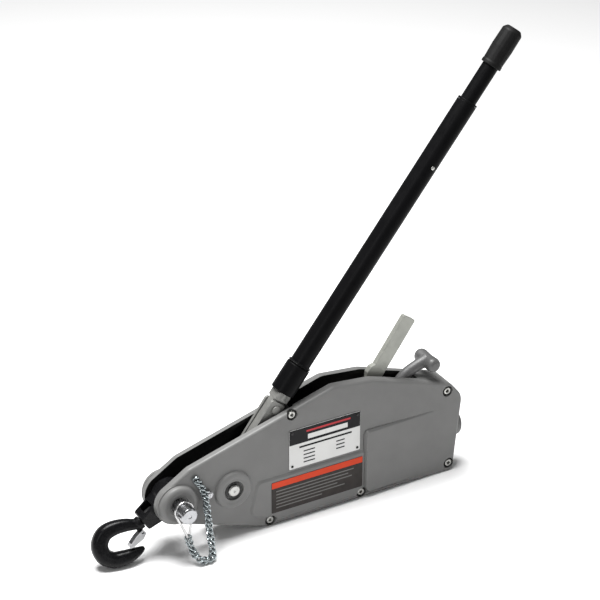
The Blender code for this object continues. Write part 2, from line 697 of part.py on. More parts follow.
def build_rods(pivot, prefix, crank_axis, far_axis):
    steel = material(prefix + "_steel", BARE, 0.4, 1.0)
    for side, low in (("near", -0.0168), ("far", 0.0114)):
        bar = link_plate(f"{prefix}_{side}", crank_axis, far_axis, 0.0086, low, low + 0.0054)
        finish(bar, steel, pivot)


def build_jaw_unit(prefix, pivots, start, pin_height):
    """A jaw frame and its two jaws, made level at the guide's mouth and then laid on the rope line."""
    before = set(bpy.data.objects)
    frame_pivot, upper_pivot, lower_pivot = pivots
    end = start + JAW_FRAME_LENGTH
    frame = block(prefix + "_frame", (start, -0.0108, -0.030), (end, 0.0108, 0.030))
    window = block(prefix + "_window", (start + JAW_FRONT_WALL, -0.0080, -0.05),
                   (end - JAW_REAR_WALL, 0.0080, 0.08))
    if prefix == "rear_jaw":
        add(frame, block("rear_jaw_lug", (start + 0.0004, -0.0104, 0.015),
                         (start + JAW_FRONT_WALL - 0.0004, 0.0104, pin_height + 0.0080)))
    cut(frame, window)
    if prefix == "front_jaw":
        x, z = reverse_point(-REVERSE_ARM)
        slot = ROPE_LINE.inverted() @ Vector((x, 0, z))
        slot_low, slot_high, slot_half = slot.z - 0.0105, slot.z + 0.0052, 0.0058
        add(frame, block("front_jaw_arm", (end - 0.008, -0.0025, slot_low - 0.0028),
                         (slot.x + slot_half + 0.0026, 0.0025, slot_high + 0.0035)))
        cut(frame, plate("front_jaw_arm_slot", rounded([
            (slot.x - slot_half, slot_low, 0.003), (slot.x + slot_half, slot_low, 0.003),
            (slot.x + slot_half, slot_high, 0.003), (slot.x - slot_half, slot_high, 0.003)], 2),
            -0.01, 0.01))
    cut(frame, rod(prefix + "_rope_bore", (start - 0.01, 0, 0), (end + 0.01, 0, 0), 0.0072, 14))
    pin_axis = (start + JAW_FRONT_WALL / 2, pin_height)
    cut(frame, cross_rod(prefix + "_pin_bore", pin_axis, -0.05, 0.05, 0.0045 + GAP, 12))
    finish(frame, material(prefix + "_frame_steel", BARE, 0.45, 0.8), frame_pivot)
    finish(cross_rod(prefix + "_pin", pin_axis, -0.0172, 0.0172, 0.0045, 12),
           material(prefix + "_pin_steel", STEEL, 0.3, 1.0), frame_pivot)

    hard = material(prefix + "_hard_steel", STEEL, 0.35, 1.0)
    jaw_low, jaw_high = start + JAW_FRONT_WALL + 0.004, end - JAW_REAR_WALL - 0.003
    for part, pivot, low, high in (("upper", upper_pivot, 0.0012, 0.0225),
                                   ("lower", lower_pivot, -0.0225, -0.0012)):
        jaw = block(f"{prefix}_{part}", (jaw_low, -0.0076, low), (jaw_high, 0.0076, high))
        cut(jaw, rod(f"{prefix}_{part}_groove", (jaw_low - 0.01, 0, 0), (jaw_high + 0.01, 0, 0),
                     ROPE_RADIUS, 14))
        finish(jaw, hard, pivot)
    for obj in set(bpy.data.objects) - before:
        obj.matrix_world = ROPE_LINE @ obj.matrix_world


# ---------------------------------------------------------------- reversing and release levers
def build_reverse_lever(pivot):
    half = 0.0122
    outline = [reverse_point(d, w) for d, w in (
        (-0.040, -0.0085), (-0.010, -0.0130), (0.010, -0.0130), (0.040, -half),
        (REVERSE_REACH - 0.003, -half), (REVERSE_REACH, -half + 0.003),
        (REVERSE_REACH, half - 0.003), (REVERSE_REACH - 0.003, half), (0.072, half),
        (0.066, half + 0.0055), (0.056, half + 0.0060), (0.046, half), (0.010, 0.0130),
        (-0.010, 0.0130), (-0.040, 0.0085))]
    lever = plate("reverse_lever", outline, -0.0047, 0.0047)
    soften(lever, 0.0008, 1)
    tail = plate("reverse_tail", arc(reverse_point(-REVERSE_ARM), 0.0082, 0, 2 * math.pi, 12)[:-1],
                 -0.0092, 0.0092)
    neck = plate("reverse_neck", [reverse_point(d, w) for d, w in (
        (-REVERSE_ARM, -0.0080), (-0.012, -0.0110), (-0.012, 0.0110), (-REVERSE_ARM, 0.0080))],
        -0.0092, 0.0092)
    hub = cross_rod("reverse_hub", REVERSE_AXIS, -0.0135, 0.0135, 0.0135, 18)
    add(lever, tail, neck, hub)
    x, z = reverse_point(-REVERSE_ARM)
    fork_gap = plate("reverse_fork_gap", [reverse_point(d, w) for d, w in (
        (-0.070, -0.03), (-0.0190, -0.03), (-0.0190, 0.03), (-0.070, 0.03))], -0.0032, 0.0032)
    cut(lever, fork_gap)
    add(lever, cross_rod("reverse_drive_pin", (x, z), -0.0085, 0.0085, 0.0040, 10))
    cut(lever, cross_rod("reverse_lever_bore", REVERSE_AXIS, -0.05, 0.05, PIVOT_RADIUS + GAP, 16))
    finish(lever, material("reverse_lever_zinc", (0.38, 0.385, 0.34), 0.4, 0.5), pivot)


def build_release_lever(pivot):
    """A cast lever that rises out of the slot and ends in a cross handle."""
    hub = cross_rod("release_lever", RELEASE_AXIS, -0.0130, 0.0130, 0.0145, 18)
    x, z = RELEASE_AXIS
    spine = smooth_path([(x + 0.002, 0.0, z + 0.004, 1.15), (x + 0.010, 0.0, z + 0.024, 1.05),
                         (x + 0.026, 0.0, z + 0.040, 1.0), (x + 0.046, 0.0, z + 0.049, 1.0),
                         (x + 0.0625, 0.0, z + 0.0535, 1.1)], 3)
    arm = wire("release_arm", spine, 0.0078, resolution=2)
    bar_x, bar_z = x + 0.0640, z + 0.0540
    bar = turned("release_bar", [
        (0.0, 0.0222), (0.0050, 0.0215), (0.0086, 0.0180), (0.0092, 0.0130), (0.0088, 0.0),
        (0.0092, -0.0130), (0.0086, -0.0180), (0.0050, -0.0215), (0.0, -0.0222)],
        along((bar_x, 0, bar_z), (0, 1, 0)), 14)
    add(hub, arm, bar)
    cut(hub, cross_rod("release_lever_bore", RELEASE_AXIS, -0.05, 0.05, PIVOT_RADIUS + GAP, 16))
    finish(hub, material("release_lever_paint", GREY, 0.5, 0.2), pivot)


# ---------------------------------------------------------------- hook
def build_yoke(pivot):
    black = material("yoke_black", BLACK, 0.4, 0.2)
    eye = cross_rod("hook_yoke", ANCHOR_AXIS, -YOKE_HALF_WIDTH, YOKE_HALF_WIDTH, 0.0265, 20)
    outline = [tuple(yoke_point(d, w).xz) for d, w in (
        (0.0, -0.0250), (0.020, -0.0190), (0.052, -0.0125), (0.0555, -0.0100), (0.0555, 0.0100),
        (0.052, 0.0125), (0.020, 0.0190), (0.0, 0.0250))]
    add(eye, plate("yoke_straps", outline, 0.0002 - YOKE_HALF_WIDTH, YOKE_HALF_WIDTH - 0.0002))
    cut(eye, cross_rod("yoke_bore", ANCHOR_AXIS, -0.05, 0.05, ANCHOR_PIN_RADIUS + GAP, 18))
    window = [tuple(yoke_point(d, w).xz) for d, w in (
        (0.0290, -0.03), (0.0450, -0.03), (0.0450, 0.03), (0.0290, 0.03))]
    cut(eye, plate("yoke_window", window, -0.0090, 0.0090))
    cut(eye, rod("yoke_swivel_bore", yoke_point(0.030), yoke_point(0.09), 0.0070 + GAP, 16))
    finish(eye, black, pivot)


def build_hook(pivot):
    path = smooth_path(HOOK_SPINE, 2)
    points = [(*hook_point(d, w), r / 0.014) for d, w, r in path]
    body = wire("hook", points, 0.014, resolution=2)
    add(body, rod("hook_shank", yoke_point(0.0305), yoke_point(0.0600), 0.0070, 16))
    add(body, rod("hook_shoulder", yoke_point(0.0560), yoke_point(0.0660), 0.0105, 16))
    ear = hook_point(*LATCH_EAR)
    side = hook_point(0, 0, 1) - hook_point(0, 0, 0)
    add(body, rod("latch_web", hook_point(LATCH_EAR[0], 0.0), ear, 0.0036, 12),
        rod("latch_ear", ear - side * 0.0055, ear + side * 0.0055, 0.0042, 14))
    cut(body, rod("latch_pin_bore", ear - side * 0.02, ear + side * 0.02, 0.0016 + GAP, 10))
    finish(body, material("hook_black", BLACK, 0.35, 0.2), pivot)

    nut = rod("swivel_nut", yoke_point(0.0320), yoke_point(0.0440), 0.0085, 6)
    cut(nut, rod("swivel_nut_thread", yoke_point(0.02), yoke_point(0.06), 0.0070 + GAP, 16))
    finish(nut, material("nut_black", BLACK, 0.4, 0.5), pivot)

    finish(rod("latch_pin", ear - side * 0.0092, ear + side * 0.0092, 0.0016, 10),
           material("latch_pin_zinc", ZINC, 0.3, 1.0), pivot)
    return ear, side


def build_latch(pivot, ear, side):
    """Folded sheet latch: two cheeks on the pin and a tongue across the throat."""
    run = (hook_point(*LATCH_REST) - ear).normalized()
    frame = Matrix((run, side, run.cross(side))).transposed().to_4x4()
    frame.translation = ear
    outer = plate("safety_latch", [
        (-0.0042, -0.0036), (0.0050, -0.0068), (0.0230, -0.0042), (0.0285, -0.0012),
        (0.0280, 0.0010), (0.0110, 0.0040), (-0.0042, 0.0040)], -0.0078, 0.0078)
    hollow = plate("latch_hollow", [
        (-0.0100, -0.0050), (0.0050, -0.0050), (0.0235, -0.0024), (0.0235, 0.0100),
        (-0.0100, 0.0100)], -0.0062, 0.0062)
    for piece in (outer, hollow):
        piece.matrix_world = frame @ piece.matrix_world
    bpy.context.view_layer.update()
    bore = rod("latch_bore", ear - side * 0.02, ear + side * 0.02, 0.0016 + GAP, 10)
    cut(outer, hollow, bore)
    finish(outer, material("latch_zinc", ZINC, 0.3, 1.0), pivot)


# ---------------------------------------------------------------- assembly
def main():
    root = pivot_at("case_pivot", 0, 0, 0)
    cast = material("case_paint", GREY, 0.5, 0.2)
    finish(build_case("near_case", -1), cast, root)
    finish(build_case("far_case", 1), material("far_case_paint", GREY, 0.5, 0.2), root)
    build_fasteners(root)
    build_shafts(root)
    build_clip_and_chain(root)
    build_plates(root)
    build_guide(root)

    lever = pivot_at("lever_pivot", MAIN_AXIS[0], 0, MAIN_AXIS[1])
    build_lever(lever)
    socket = lever_line(SOCKET_START)
    build_handle(pivot_at("handle_slide", *socket))
    tube_mouth = lever_line(TUBE_END)
    build_inner_handle(pivot_at("inner_handle_slide", *tube_mouth))

    for prefix, start, pin_height in (("front_jaw", FRONT_JAW_START, FRONT_JAW_PIN),
                                      ("rear_jaw", REAR_JAW_START, REAR_JAW_PIN)):
        pivots = [pivot_at(prefix + "_slide", *rope_point(start)),
                  pivot_at(prefix + "_upper_slide", *rope_point(start + JAW_FRAME_LENGTH / 2, 0.01)),
                  pivot_at(prefix + "_lower_slide", *rope_point(start + JAW_FRAME_LENGTH / 2, -0.01))]
        build_jaw_unit(prefix, pivots, start, pin_height)
    for prefix, distance, start, pin_height, shift in (
            ("upper_rod", CRANK_RADIUS, REAR_JAW_START, REAR_JAW_PIN, -EYE_OFFSET),
            ("lower_rod", -CRANK_RADIUS, FRONT_JAW_START, FRONT_JAW_PIN, EYE_OFFSET)):
        crank_pin = lever_point(distance)
        jaw_pin = rope_point(start + JAW_FRONT_WALL / 2, pin_height)
        build_rods(pivot_at(prefix + "_pivot", crank_pin[0], 0, crank_pin[1]), prefix,
                   crank_pin, (jaw_pin.x, jaw_pin.z + shift))

    build_reverse_lever(pivot_at("reverse_pivot", REVERSE_AXIS[0], 0, REVERSE_AXIS[1]))
    build_release_lever(pivot_at("release_pivot", RELEASE_AXIS[0], 0, RELEASE_AXIS[1]))
    build_yoke(pivot_at("yoke_pivot", ANCHOR_AXIS[0], 0, ANCHOR_AXIS[1]))
    swivel = pivot_at("swivel_pivot", *yoke_point(0.050))
    ear, side = build_hook(swivel)
    build_latch(pivot_at("latch_pivot", *ear), ear, side)


for old in list(bpy.data.objects):
    bpy.data.objects.remove(old)
PARTS = collection("wire_rope_grip_puller")
CUTTERS = collection("cutters")
main()
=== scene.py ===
"""Looks of the wire rope grip puller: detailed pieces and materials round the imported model."""

import json
import math

import bmesh
import bpy
from mathutils import Matrix, Vector


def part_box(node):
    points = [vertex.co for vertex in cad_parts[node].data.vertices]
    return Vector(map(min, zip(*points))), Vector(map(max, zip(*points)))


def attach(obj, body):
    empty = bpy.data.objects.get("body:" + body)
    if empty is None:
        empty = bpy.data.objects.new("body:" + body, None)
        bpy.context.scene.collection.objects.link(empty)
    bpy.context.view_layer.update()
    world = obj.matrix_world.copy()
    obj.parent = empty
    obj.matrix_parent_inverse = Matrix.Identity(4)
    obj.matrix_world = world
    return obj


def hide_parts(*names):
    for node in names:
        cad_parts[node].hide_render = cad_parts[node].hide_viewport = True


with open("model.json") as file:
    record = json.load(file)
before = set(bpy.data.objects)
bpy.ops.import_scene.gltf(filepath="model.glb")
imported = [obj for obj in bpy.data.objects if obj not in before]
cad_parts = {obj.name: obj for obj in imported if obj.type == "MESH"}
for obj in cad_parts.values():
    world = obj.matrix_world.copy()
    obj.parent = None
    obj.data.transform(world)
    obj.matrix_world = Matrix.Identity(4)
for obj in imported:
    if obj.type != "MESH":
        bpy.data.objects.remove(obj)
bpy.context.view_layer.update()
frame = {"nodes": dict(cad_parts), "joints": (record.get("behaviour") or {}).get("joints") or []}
JOINTS = {joint["name"]: joint for joint in frame["joints"]}


# -------- places read from the frame
def joint_axis(name):
    """(x, z) of a hinge that turns about Y."""
    x, _, z = JOINTS[name]["pos_m"]
    return x, z


def middle(node):
    low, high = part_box(node)
    return (low + high) / 2


def node_axis(node):
    centre = middle(node)
    return centre.x, centre.z


MAIN_AXIS = joint_axis("lever_swing")
ANCHOR_AXIS = joint_axis("yoke_swing")
REVERSE_AXIS = joint_axis("reverse_lever_swing")
RELEASE_AXIS = joint_axis("release_lever_swing")
LEVER_RUN = Vector(JOINTS["handle_pull"]["axis"])
ROPE_RUN = Vector(JOINTS["front_jaw_slide"]["axis"])
YOKE_RUN = Vector(JOINTS["hook_swivel"]["axis"])
LATCH_PLACE = Vector(JOINTS["latch_swing"]["pos_m"])
LATCH_SIDE = -Vector(JOINTS["latch_swing"]["axis"])
BOLT_NAMES = ("front", "middle", "rear", "top_rear", "top_front")
BOLTS = {name: node_axis("bolt_" + name) for name in BOLT_NAMES}
SIDE = 0.026  # half width of the case
SEAM = -0.002  # where the two halves meet
SLOT = 0.015  # half width of the slot
SLOT_REAR = 0.106
SLOT_STEP = -0.116  # behind this the slot is narrower
SLOT_NARROW = 0.0125
CAVITY_FRONT = -0.262
GAP = 0.0003  # left open between two parts
THROUGH = 0.05  # how far a hole's cutter reaches from the middle plane
ON_AXIS = 1e-7  # a turned profile's point is on the axis below this radius
INK = 0.00012  # thickness of a printed bar

# radii of holes
SHAFT_BORE = 0.01
PIN_BORE = 0.0128
BOLT_BORE = 0.0043
SHEAR_BORE = 0.0043
COUNTERBORE = 0.009
SIDE_SHAFT_BORE = 0.0083  # for the reversing and the release lever's shafts
SWIVEL_BORE = 0.0073
LATCH_BORE = 0.0019

# levers, handle and chain
CRANK = 0.03  # from the main shaft to each crank pin
CHEEK = 0.0044  # thickness of the forward lever's cheeks
LEVER_LEFT = Vector((-LEVER_RUN.z, 0, LEVER_RUN.x))
TUBE_END = 0.671  # the outer tube's far end, from the main shaft
REVERSE_ANGLE = math.radians(54.8)
REVERSE_ARM = 0.0452  # from the reversing lever's shaft to its drive pin
CHAIN_PITCH = 0.0054
LINK_LENGTH, LINK_WIDTH = 0.0104, 0.0092

# outlines on the case's side, by (x, z, corner radius)
CASE_CORNERS = [
    (-0.1670, 0.0000, 0.020),
    (0.1675, 0.0000, 0.009),
    (0.1815, 0.1310, 0.026),
    (0.1590, 0.1590, 0.028),
    (0.0160, 0.2060, 0.040),
    (-0.0520, 0.2130, 0.025),
    (-0.2980, 0.1420, 0.020),
]
NOSE_RADIUS = 0.034
GUIDE_MOUTH = (0.1667, 0.0, 0.071)
RELIEF_FRONT, RELIEF_REAR = 0.002, 0.138
RELIEF_CORNERS = [
    (RELIEF_FRONT, 0.0080, 0.007),
    (RELIEF_REAR, 0.0080, 0.006),
    (RELIEF_REAR, 0.1200, 0.006),
    (RELIEF_FRONT, 0.1200, 0.007),
]
BAND_CORNERS = [
    (-0.1500, 0.0070, 0.006),
    (0.0040, 0.0070, 0.006),
    (0.0040, 0.0870, 0.006),
    (-0.1860, 0.0870, 0.012),
    (-0.2000, 0.0300, 0.014),
]

# linear colours
GREY = (0.142, 0.142, 0.139)
PALE_GREY = (0.085, 0.085, 0.085)
CHARCOAL = (0.007, 0.007, 0.008)
BLACK = (0.0035, 0.0035, 0.0038)
PAPER = (0.6, 0.6, 0.59)
RED = (0.42, 0.012, 0.02)
ORANGE = (0.56, 0.045, 0.012)
ZINC = (0.34, 0.345, 0.355)
DULL_ZINC = (0.19, 0.19, 0.18)

WORN_WIDTH = 0.0009  # how far the rubbed edges reach
SCRATCH_SCALE = 260.0  # noise scales, per metre
LUMP_SCALE = 120.0


# -------- materials
def node(tree, kind, **values):
    """A new shader node with its sockets and properties set by name."""
    made = tree.nodes.new(kind)
    for name, value in values.items():
        if name in made.inputs:
            made.inputs[name].default_value = value
        else:
            setattr(made, name, value)
    return made


def noise(tree, scale, detail, stretch=(1, 1, 1)):
    """A noise value in the object's own metres; stretch squeezes it along an axis."""
    place = node(tree, "ShaderNodeTexCoord")
    mapping = node(tree, "ShaderNodeMapping", Scale=stretch)
    made = node(tree, "ShaderNodeTexNoise", Scale=scale, Detail=detail)
    tree.links.new(place.outputs["Object"], mapping.inputs["Vector"])
    tree.links.new(mapping.outputs["Vector"], made.inputs["Vector"])
    return made.outputs["Fac"]


def multiply(tree, first, second):
    made = node(tree, "ShaderNodeMath", operation="MULTIPLY", use_clamp=True)
    tree.links.new(first, made.inputs[0])
    tree.links.new(second, made.inputs[1])
    return made.outputs[0]


def spread(tree, value, low, high, start=0.3, end=0.7):
    """Stretch a value from start..end to low..high."""
    made = node(tree, "ShaderNodeMapRange", **{
        "From Min": start, "From Max": end, "To Min": low, "To Max": high})
    tree.links.new(value, made.inputs["Value"])
    return made.outputs["Result"]


def mix(tree, factor, first, second):
    made = tree.nodes.new("ShaderNodeMix")
    made.data_type = "RGBA"
    tree.links.new(factor, made.inputs["Factor"])
    for socket, value in ((made.inputs[6], first), (made.inputs[7], second)):
        if isinstance(value, tuple):
            socket.default_value = (*value, 1.0)
        else:
            tree.links.new(value, socket)
    return made.outputs[2]


def edge_mask(tree):
    """About 1 on outer and inner edges and 0 on flat stretches."""
    bevel = node(tree, "ShaderNodeBevel", samples=4, Radius=WORN_WIDTH)
    flat = node(tree, "ShaderNodeNewGeometry")
    dot = node(tree, "ShaderNodeVectorMath", operation="DOT_PRODUCT")
    tree.links.new(bevel.outputs["Normal"], dot.inputs[0])
    tree.links.new(flat.outputs["Normal"], dot.inputs[1])
    return spread(tree, dot.outputs["Value"], 1.0, 0.0, 0.9, 0.985)


def surface(name, colour, roughness, metallic=0.0, tone=0.12, blotch=22.0, grain=900.0,
            grain_depth=0.00004, lumps=0.0, wear=None, wear_amount=0.5, stretch=(1, 1, 1),
            inside=None, specular=0.5):
    """A procedural finish: uneven tone, uneven gloss, fine grain, cast lumps, rubbed edges and,
    where an inside colour is given, painted shade on faces marked hollow.
    """
    made = bpy.data.materials.new(name)
    made.use_nodes = True
    tree = made.node_tree
    shader = tree.nodes["Principled BSDF"]
    shader.inputs["Metallic"].default_value = metallic
    shader.inputs["Specular IOR Level"].default_value = specular
    dark = tuple(c * (1 - tone) for c in colour)
    light = tuple(c * (1 + tone) for c in colour)
    tint = mix(tree, spread(tree, noise(tree, blotch, 5.0), 0, 1), dark, light)
    gloss = spread(tree, noise(tree, blotch * 3.1, 6.0), roughness - 0.07, roughness + 0.09)
    if wear:
        scratches = spread(tree, noise(tree, SCRATCH_SCALE, 6.0), 0.0, wear_amount, 0.42, 0.62)
        tint = mix(tree, multiply(tree, edge_mask(tree), scratches), tint, wear)
    # painted shade: faces marked hollow take the near-black inside colour
    if inside:
        hollow = node(tree, "ShaderNodeAttribute", attribute_name="hollow")
        tint = mix(tree, hollow.outputs["Fac"], tint, inside)
    tree.links.new(tint, shader.inputs["Base Color"])
    tree.links.new(gloss, shader.inputs["Roughness"])
    fine = node(tree, "ShaderNodeBump", Strength=0.5, Distance=grain_depth)
    tree.links.new(noise(tree, grain, 3.0, stretch), fine.inputs["Height"])
    if lumps:
        coarse = node(tree, "ShaderNodeBump", Strength=0.6, Distance=lumps)
        tree.links.new(noise(tree, LUMP_SCALE, 3.0), coarse.inputs["Height"])
        tree.links.new(coarse.outputs["Normal"], fine.inputs["Normal"])
    tree.links.new(fine.outputs["Normal"], shader.inputs["Normal"])
    return made


def printed(name, colour, roughness, **more):
    """Smooth ink or film."""
    return surface(name, colour, roughness, grain=1300, grain_depth=0.00002, **more)


def make_materials():
    return {
        # the case's inside colour is painted shade for its cavity, slot walls and bolt seats
        "case": surface(
            "cast_grey_enamel", GREY, 0.46, tone=0.05, grain=700, grain_depth=0.00006,
            lumps=0.00016, wear=(0.36, 0.36, 0.35), specular=0.35, inside=(0.003, 0.003, 0.003)),
        "guide": surface(
            "guide_grey_enamel", GREY, 0.45, tone=0.07, lumps=0.00015, wear=(0.4, 0.4, 0.39),
            wear_amount=0.8),
        "release": surface(
            "release_grey_enamel", PALE_GREY, 0.44, tone=0.06, lumps=0.00022,
            wear=(0.36, 0.36, 0.35), specular=0.6),
        "forging": surface(
            "dulled_zinc", DULL_ZINC, 0.42, 0.3, tone=0.14, blotch=60, grain=500,
            grain_depth=0.00008, wear=(0.5, 0.5, 0.48), wear_amount=0.7),
        "bar": surface(
            "bar_zinc", (0.31, 0.315, 0.285), 0.42, 0.25, tone=0.09, blotch=45, grain=420,
            grain_depth=0.00007, wear=(0.45, 0.45, 0.42), wear_amount=0.6,
            stretch=(0.35, 1, 0.35)),
        "zinc": surface(
            "bright_zinc", ZINC, 0.24, 1.0, tone=0.1, blotch=90, grain=1300, grain_depth=0.00003,
            wear=(0.8, 0.8, 0.8)),
        "latch": surface(
            "latch_sheet_zinc", (0.44, 0.44, 0.45), 0.4, 0.6, tone=0.08, blotch=60, grain=1200,
            grain_depth=0.00003, wear=(0.7, 0.7, 0.7)),
        "clip": surface(
            "clip_spring_wire", (0.46, 0.46, 0.46), 0.27, 1.0, tone=0.15, blotch=120, grain=1500,
            grain_depth=0.00003),
        "chain": surface(
            "chain_zinc", (0.34, 0.375, 0.385), 0.25, 1.0, tone=0.18, blotch=160, grain=1500),
        "fastener": surface(
            "fastener_steel", (0.4, 0.4, 0.38), 0.34, 1.0, tone=0.18, blotch=120, grain=1100,
            wear=(0.7, 0.7, 0.68)),
        "black_steel": surface(
            "blackened_steel", (0.012, 0.012, 0.012), 0.42, tone=0.2, blotch=120, grain=1000,
            wear=(0.12, 0.12, 0.12), specular=0.3),
        "shaft": surface(
            "ground_steel", (0.36, 0.36, 0.35), 0.32, 1.0, tone=0.1, blotch=70, grain=1800,
            grain_depth=0.00003, wear=(0.7, 0.7, 0.7), stretch=(1, 0.1, 1)),
        "mechanism": surface(
            "greased_steel", (0.09, 0.085, 0.08), 0.38, 0.9, tone=0.3, blotch=55, grain=600,
            grain_depth=0.00006, wear=(0.4, 0.4, 0.38)),
        "jaw": surface(
            "jaw_steel", (0.3, 0.29, 0.27), 0.33, 1.0, tone=0.2, blotch=70, grain=800,
            wear=(0.6, 0.6, 0.58)),
        "handle": surface(
            "gloss_black", BLACK, 0.34, tone=0.15, blotch=30, grain=420, grain_depth=0.00005,
            wear=(0.03, 0.03, 0.03), specular=0.05),
        "grip": surface(
            "grip_rubber", (0.006, 0.006, 0.006), 0.5, tone=0.2, blotch=60, grain=1400,
            grain_depth=0.00008, wear=(0.02, 0.02, 0.02), specular=0.12),
        "hook": surface(
            "forged_black", (0.0045, 0.0045, 0.005), 0.27, tone=0.25, blotch=80, grain=480,
            grain_depth=0.0001, lumps=0.00035, wear=(0.04, 0.04, 0.04), wear_amount=0.6,
            specular=0.13),
        "plate": surface(
            "plate_paper_white", PAPER, 0.34, tone=0.04, grain=1500, grain_depth=0.00002),
        "plate_dark": printed("plate_charcoal", CHARCOAL, 0.4, tone=0.2, specular=0.12),
        "plate_red": printed("plate_red", RED, 0.36, tone=0.1, specular=0.3),
        "label_dark": printed(
            "label_charcoal", (0.028, 0.024, 0.022), 0.46, tone=0.2, blotch=70, specular=0.15),
        "label_orange": printed("label_orange", ORANGE, 0.42, tone=0.08, specular=0.15),
        "label_line": printed("label_line_grey", (0.1, 0.098, 0.092), 0.45, tone=0.2, blotch=300),
    }


# -------- shape helpers
def arc(centre, radius, start, end, steps):
    angles = [start + (end - start) * i / steps for i in range(steps + 1)]
    return [(centre[0] + radius * math.cos(a), centre[1] + radius * math.sin(a)) for a in angles]


def rounded(corners, steps, closed=True):
    """Replace each (x, z, radius) corner of an outline by an arc."""
    points = []
    count = len(corners)
    for i, (x, z, radius) in enumerate(corners):
        if radius == 0 or (not closed and i in (0, count - 1)):
            points.append((x, z))
            continue
        here = Vector((x, z))
        back = (Vector(corners[i - 1][:2]) - here).normalized()
        ahead = (Vector(corners[(i + 1) % count][:2]) - here).normalized()
        half = back.angle(ahead) / 2
        centre = here + (back + ahead).normalized() * radius / math.sin(half)
        reach = radius / math.tan(half)
        first = here + back * reach - centre
        last = here + ahead * reach - centre
        start = math.atan2(first.y, first.x)
        turn = math.remainder(math.atan2(last.y, last.x) - start, 2 * math.pi)
        points += arc(centre, radius, start, start + turn, steps)
    return points


def rectangle(x0, z0, x1, z1, radius=0):
    """A rectangle's corners, for rounded()."""
    return [(x0, z0, radius), (x1, z0, radius), (x1, z1, radius), (x0, z1, radius)]


def smooth_path(points, steps):
    """Catmull-Rom points through a given route, of any number of values each."""
    path = []
    last = len(points) - 1
    for i in range(last):
        knots = [points[max(i - 1, 0)], points[i], points[i + 1], points[min(i + 2, last)]]
        for k in range(steps):
            t = k / steps
            weights = (-t + 2 * t * t - t ** 3, 2 - 5 * t * t + 3 * t ** 3,
                       t + 4 * t * t - 3 * t ** 3, -t * t + t ** 3)
            path.append(tuple(sum(w * q[n] for w, q in zip(weights, knots)) / 2
                              for n in range(len(points[0]))))
    path.append(tuple(points[-1]))
    return path


def new_object(name, work):
    mesh = bpy.data.meshes.new(name)
    bmesh.ops.recalc_face_normals(work, faces=work.faces)
    work.to_mesh(mesh)
    work.free()
    made = bpy.data.objects.new(name, mesh)
    bpy.context.scene.collection.objects.link(made)
    return made


def bridge(work, rings, closed=False):
    """Faces between neighbouring rings of vertices; a vertex met twice in a face counts once."""
    pairs = list(zip(rings, rings[1:]))
    if closed:
        pairs.append((rings[-1], rings[0]))
    for first, second in pairs:
        for i in range(len(first)):
            corners = [first[i - 1], first[i], second[i], second[i - 1]]
            work.faces.new([v for k, v in enumerate(corners) if v is not corners[k - 1]])


def plate(name, outline, y_low, y_high):
    """A flat piece with an outline of (x, z) points, between two Y planes."""
    work = bmesh.new()
    low = [work.verts.new((x, y_low, z)) for x, z in outline]
    high = [work.verts.new((x, y_high, z)) for x, z in outline]
    work.faces.new(low)
    work.faces.new(high[::-1])
    bridge(work, [low, high])
    return new_object(name, work)


def block(name, low, high):
    return plate(name, rounded(rectangle(low[0], low[2], high[0], high[2]), 1), low[1], high[1])


def turned(name, profile, place, sides):
    """Turn (radius, height) points about the local Z axis; place puts that axis in the world."""
    work = bmesh.new()
    rings = []
    turns = [2 * math.pi * i / sides for i in range(sides)]
    for radius, height in profile:
        if radius < ON_AXIS:
            rings.append([work.verts.new((0, 0, height))] * sides)
            continue
        rings.append([work.verts.new((radius * math.cos(a), radius * math.sin(a), height))
                      for a in turns])
    bridge(work, rings, closed=profile[0][0] > ON_AXIS)
    bmesh.ops.transform(work, matrix=place, verts=work.verts)
    return new_object(name, work)


def spun(name, profile, place, sides, steps=4):
    """Turn a profile of (radius, height, rounding) corners that starts and ends on the axis."""
    return turned(name, rounded(profile, steps, closed=False), place, sides)


def along(origin, direction):
    """A matrix whose Z axis is a direction and whose origin is a point."""
    turn = Vector(direction).to_track_quat("Z", "Y").to_matrix().to_4x4()
    return Matrix.Translation(origin) @ turn


def rod(name, start, end, radius, sides):
    start, end = Vector(start), Vector(end)
    length = (end - start).length
    return turned(name, [(0, 0), (radius, 0), (radius, length), (0, length)],
                  along(start, end - start), sides)


def cross_rod(name, axis, y_low, y_high, radius, sides):
    return rod(name, (axis[0], y_low, axis[1]), (axis[0], y_high, axis[1]), radius, sides)


def bore(axis, radius, sides, y_high=THROUGH):
    """A cutter for a hole along Y."""
    return cross_rod("bore", axis, -THROUGH, y_high, radius, sides)


def side_place(axis, y, out=-1):
    """A matrix whose Z axis leaves the case's side at an (x, z) axis."""
    return along((axis[0], y, axis[1]), (0, out, 0))


def sweep(name, path, radii, sides, closed=False, first_normal=(0, 1, 0), section=None):
    """A tube along 3-D points whose cross-section follows section(angle)."""
    points = [Vector(p) for p in path]
    count = len(points)
    tangents = []
    for i, here in enumerate(points):
        behind = points[i - 1] if closed or i else here
        ahead = points[(i + 1) % count] if closed or i < count - 1 else here
        tangents.append((ahead - behind).normalized())
    normal = Vector(first_normal)
    axes = []
    for tangent in tangents:
        normal = (normal - tangent * normal.dot(tangent)).normalized()
        axes.append((normal.copy(), tangent.cross(normal)))
    work = bmesh.new()
    shape = section or (lambda a: (math.cos(a), math.sin(a)))
    rings = []
    for here, radius, (across, up) in zip(points, radii, axes):
        ring = []
        for k in range(sides):
            p, q = shape(2 * math.pi * k / sides)
            ring.append(work.verts.new(here + (across * p + up * q) * radius))
        rings.append(ring)
    bridge(work, rings, closed)
    if not closed:
        work.faces.new(rings[0][::-1])
        work.faces.new(rings[-1])
    return new_object(name, work)


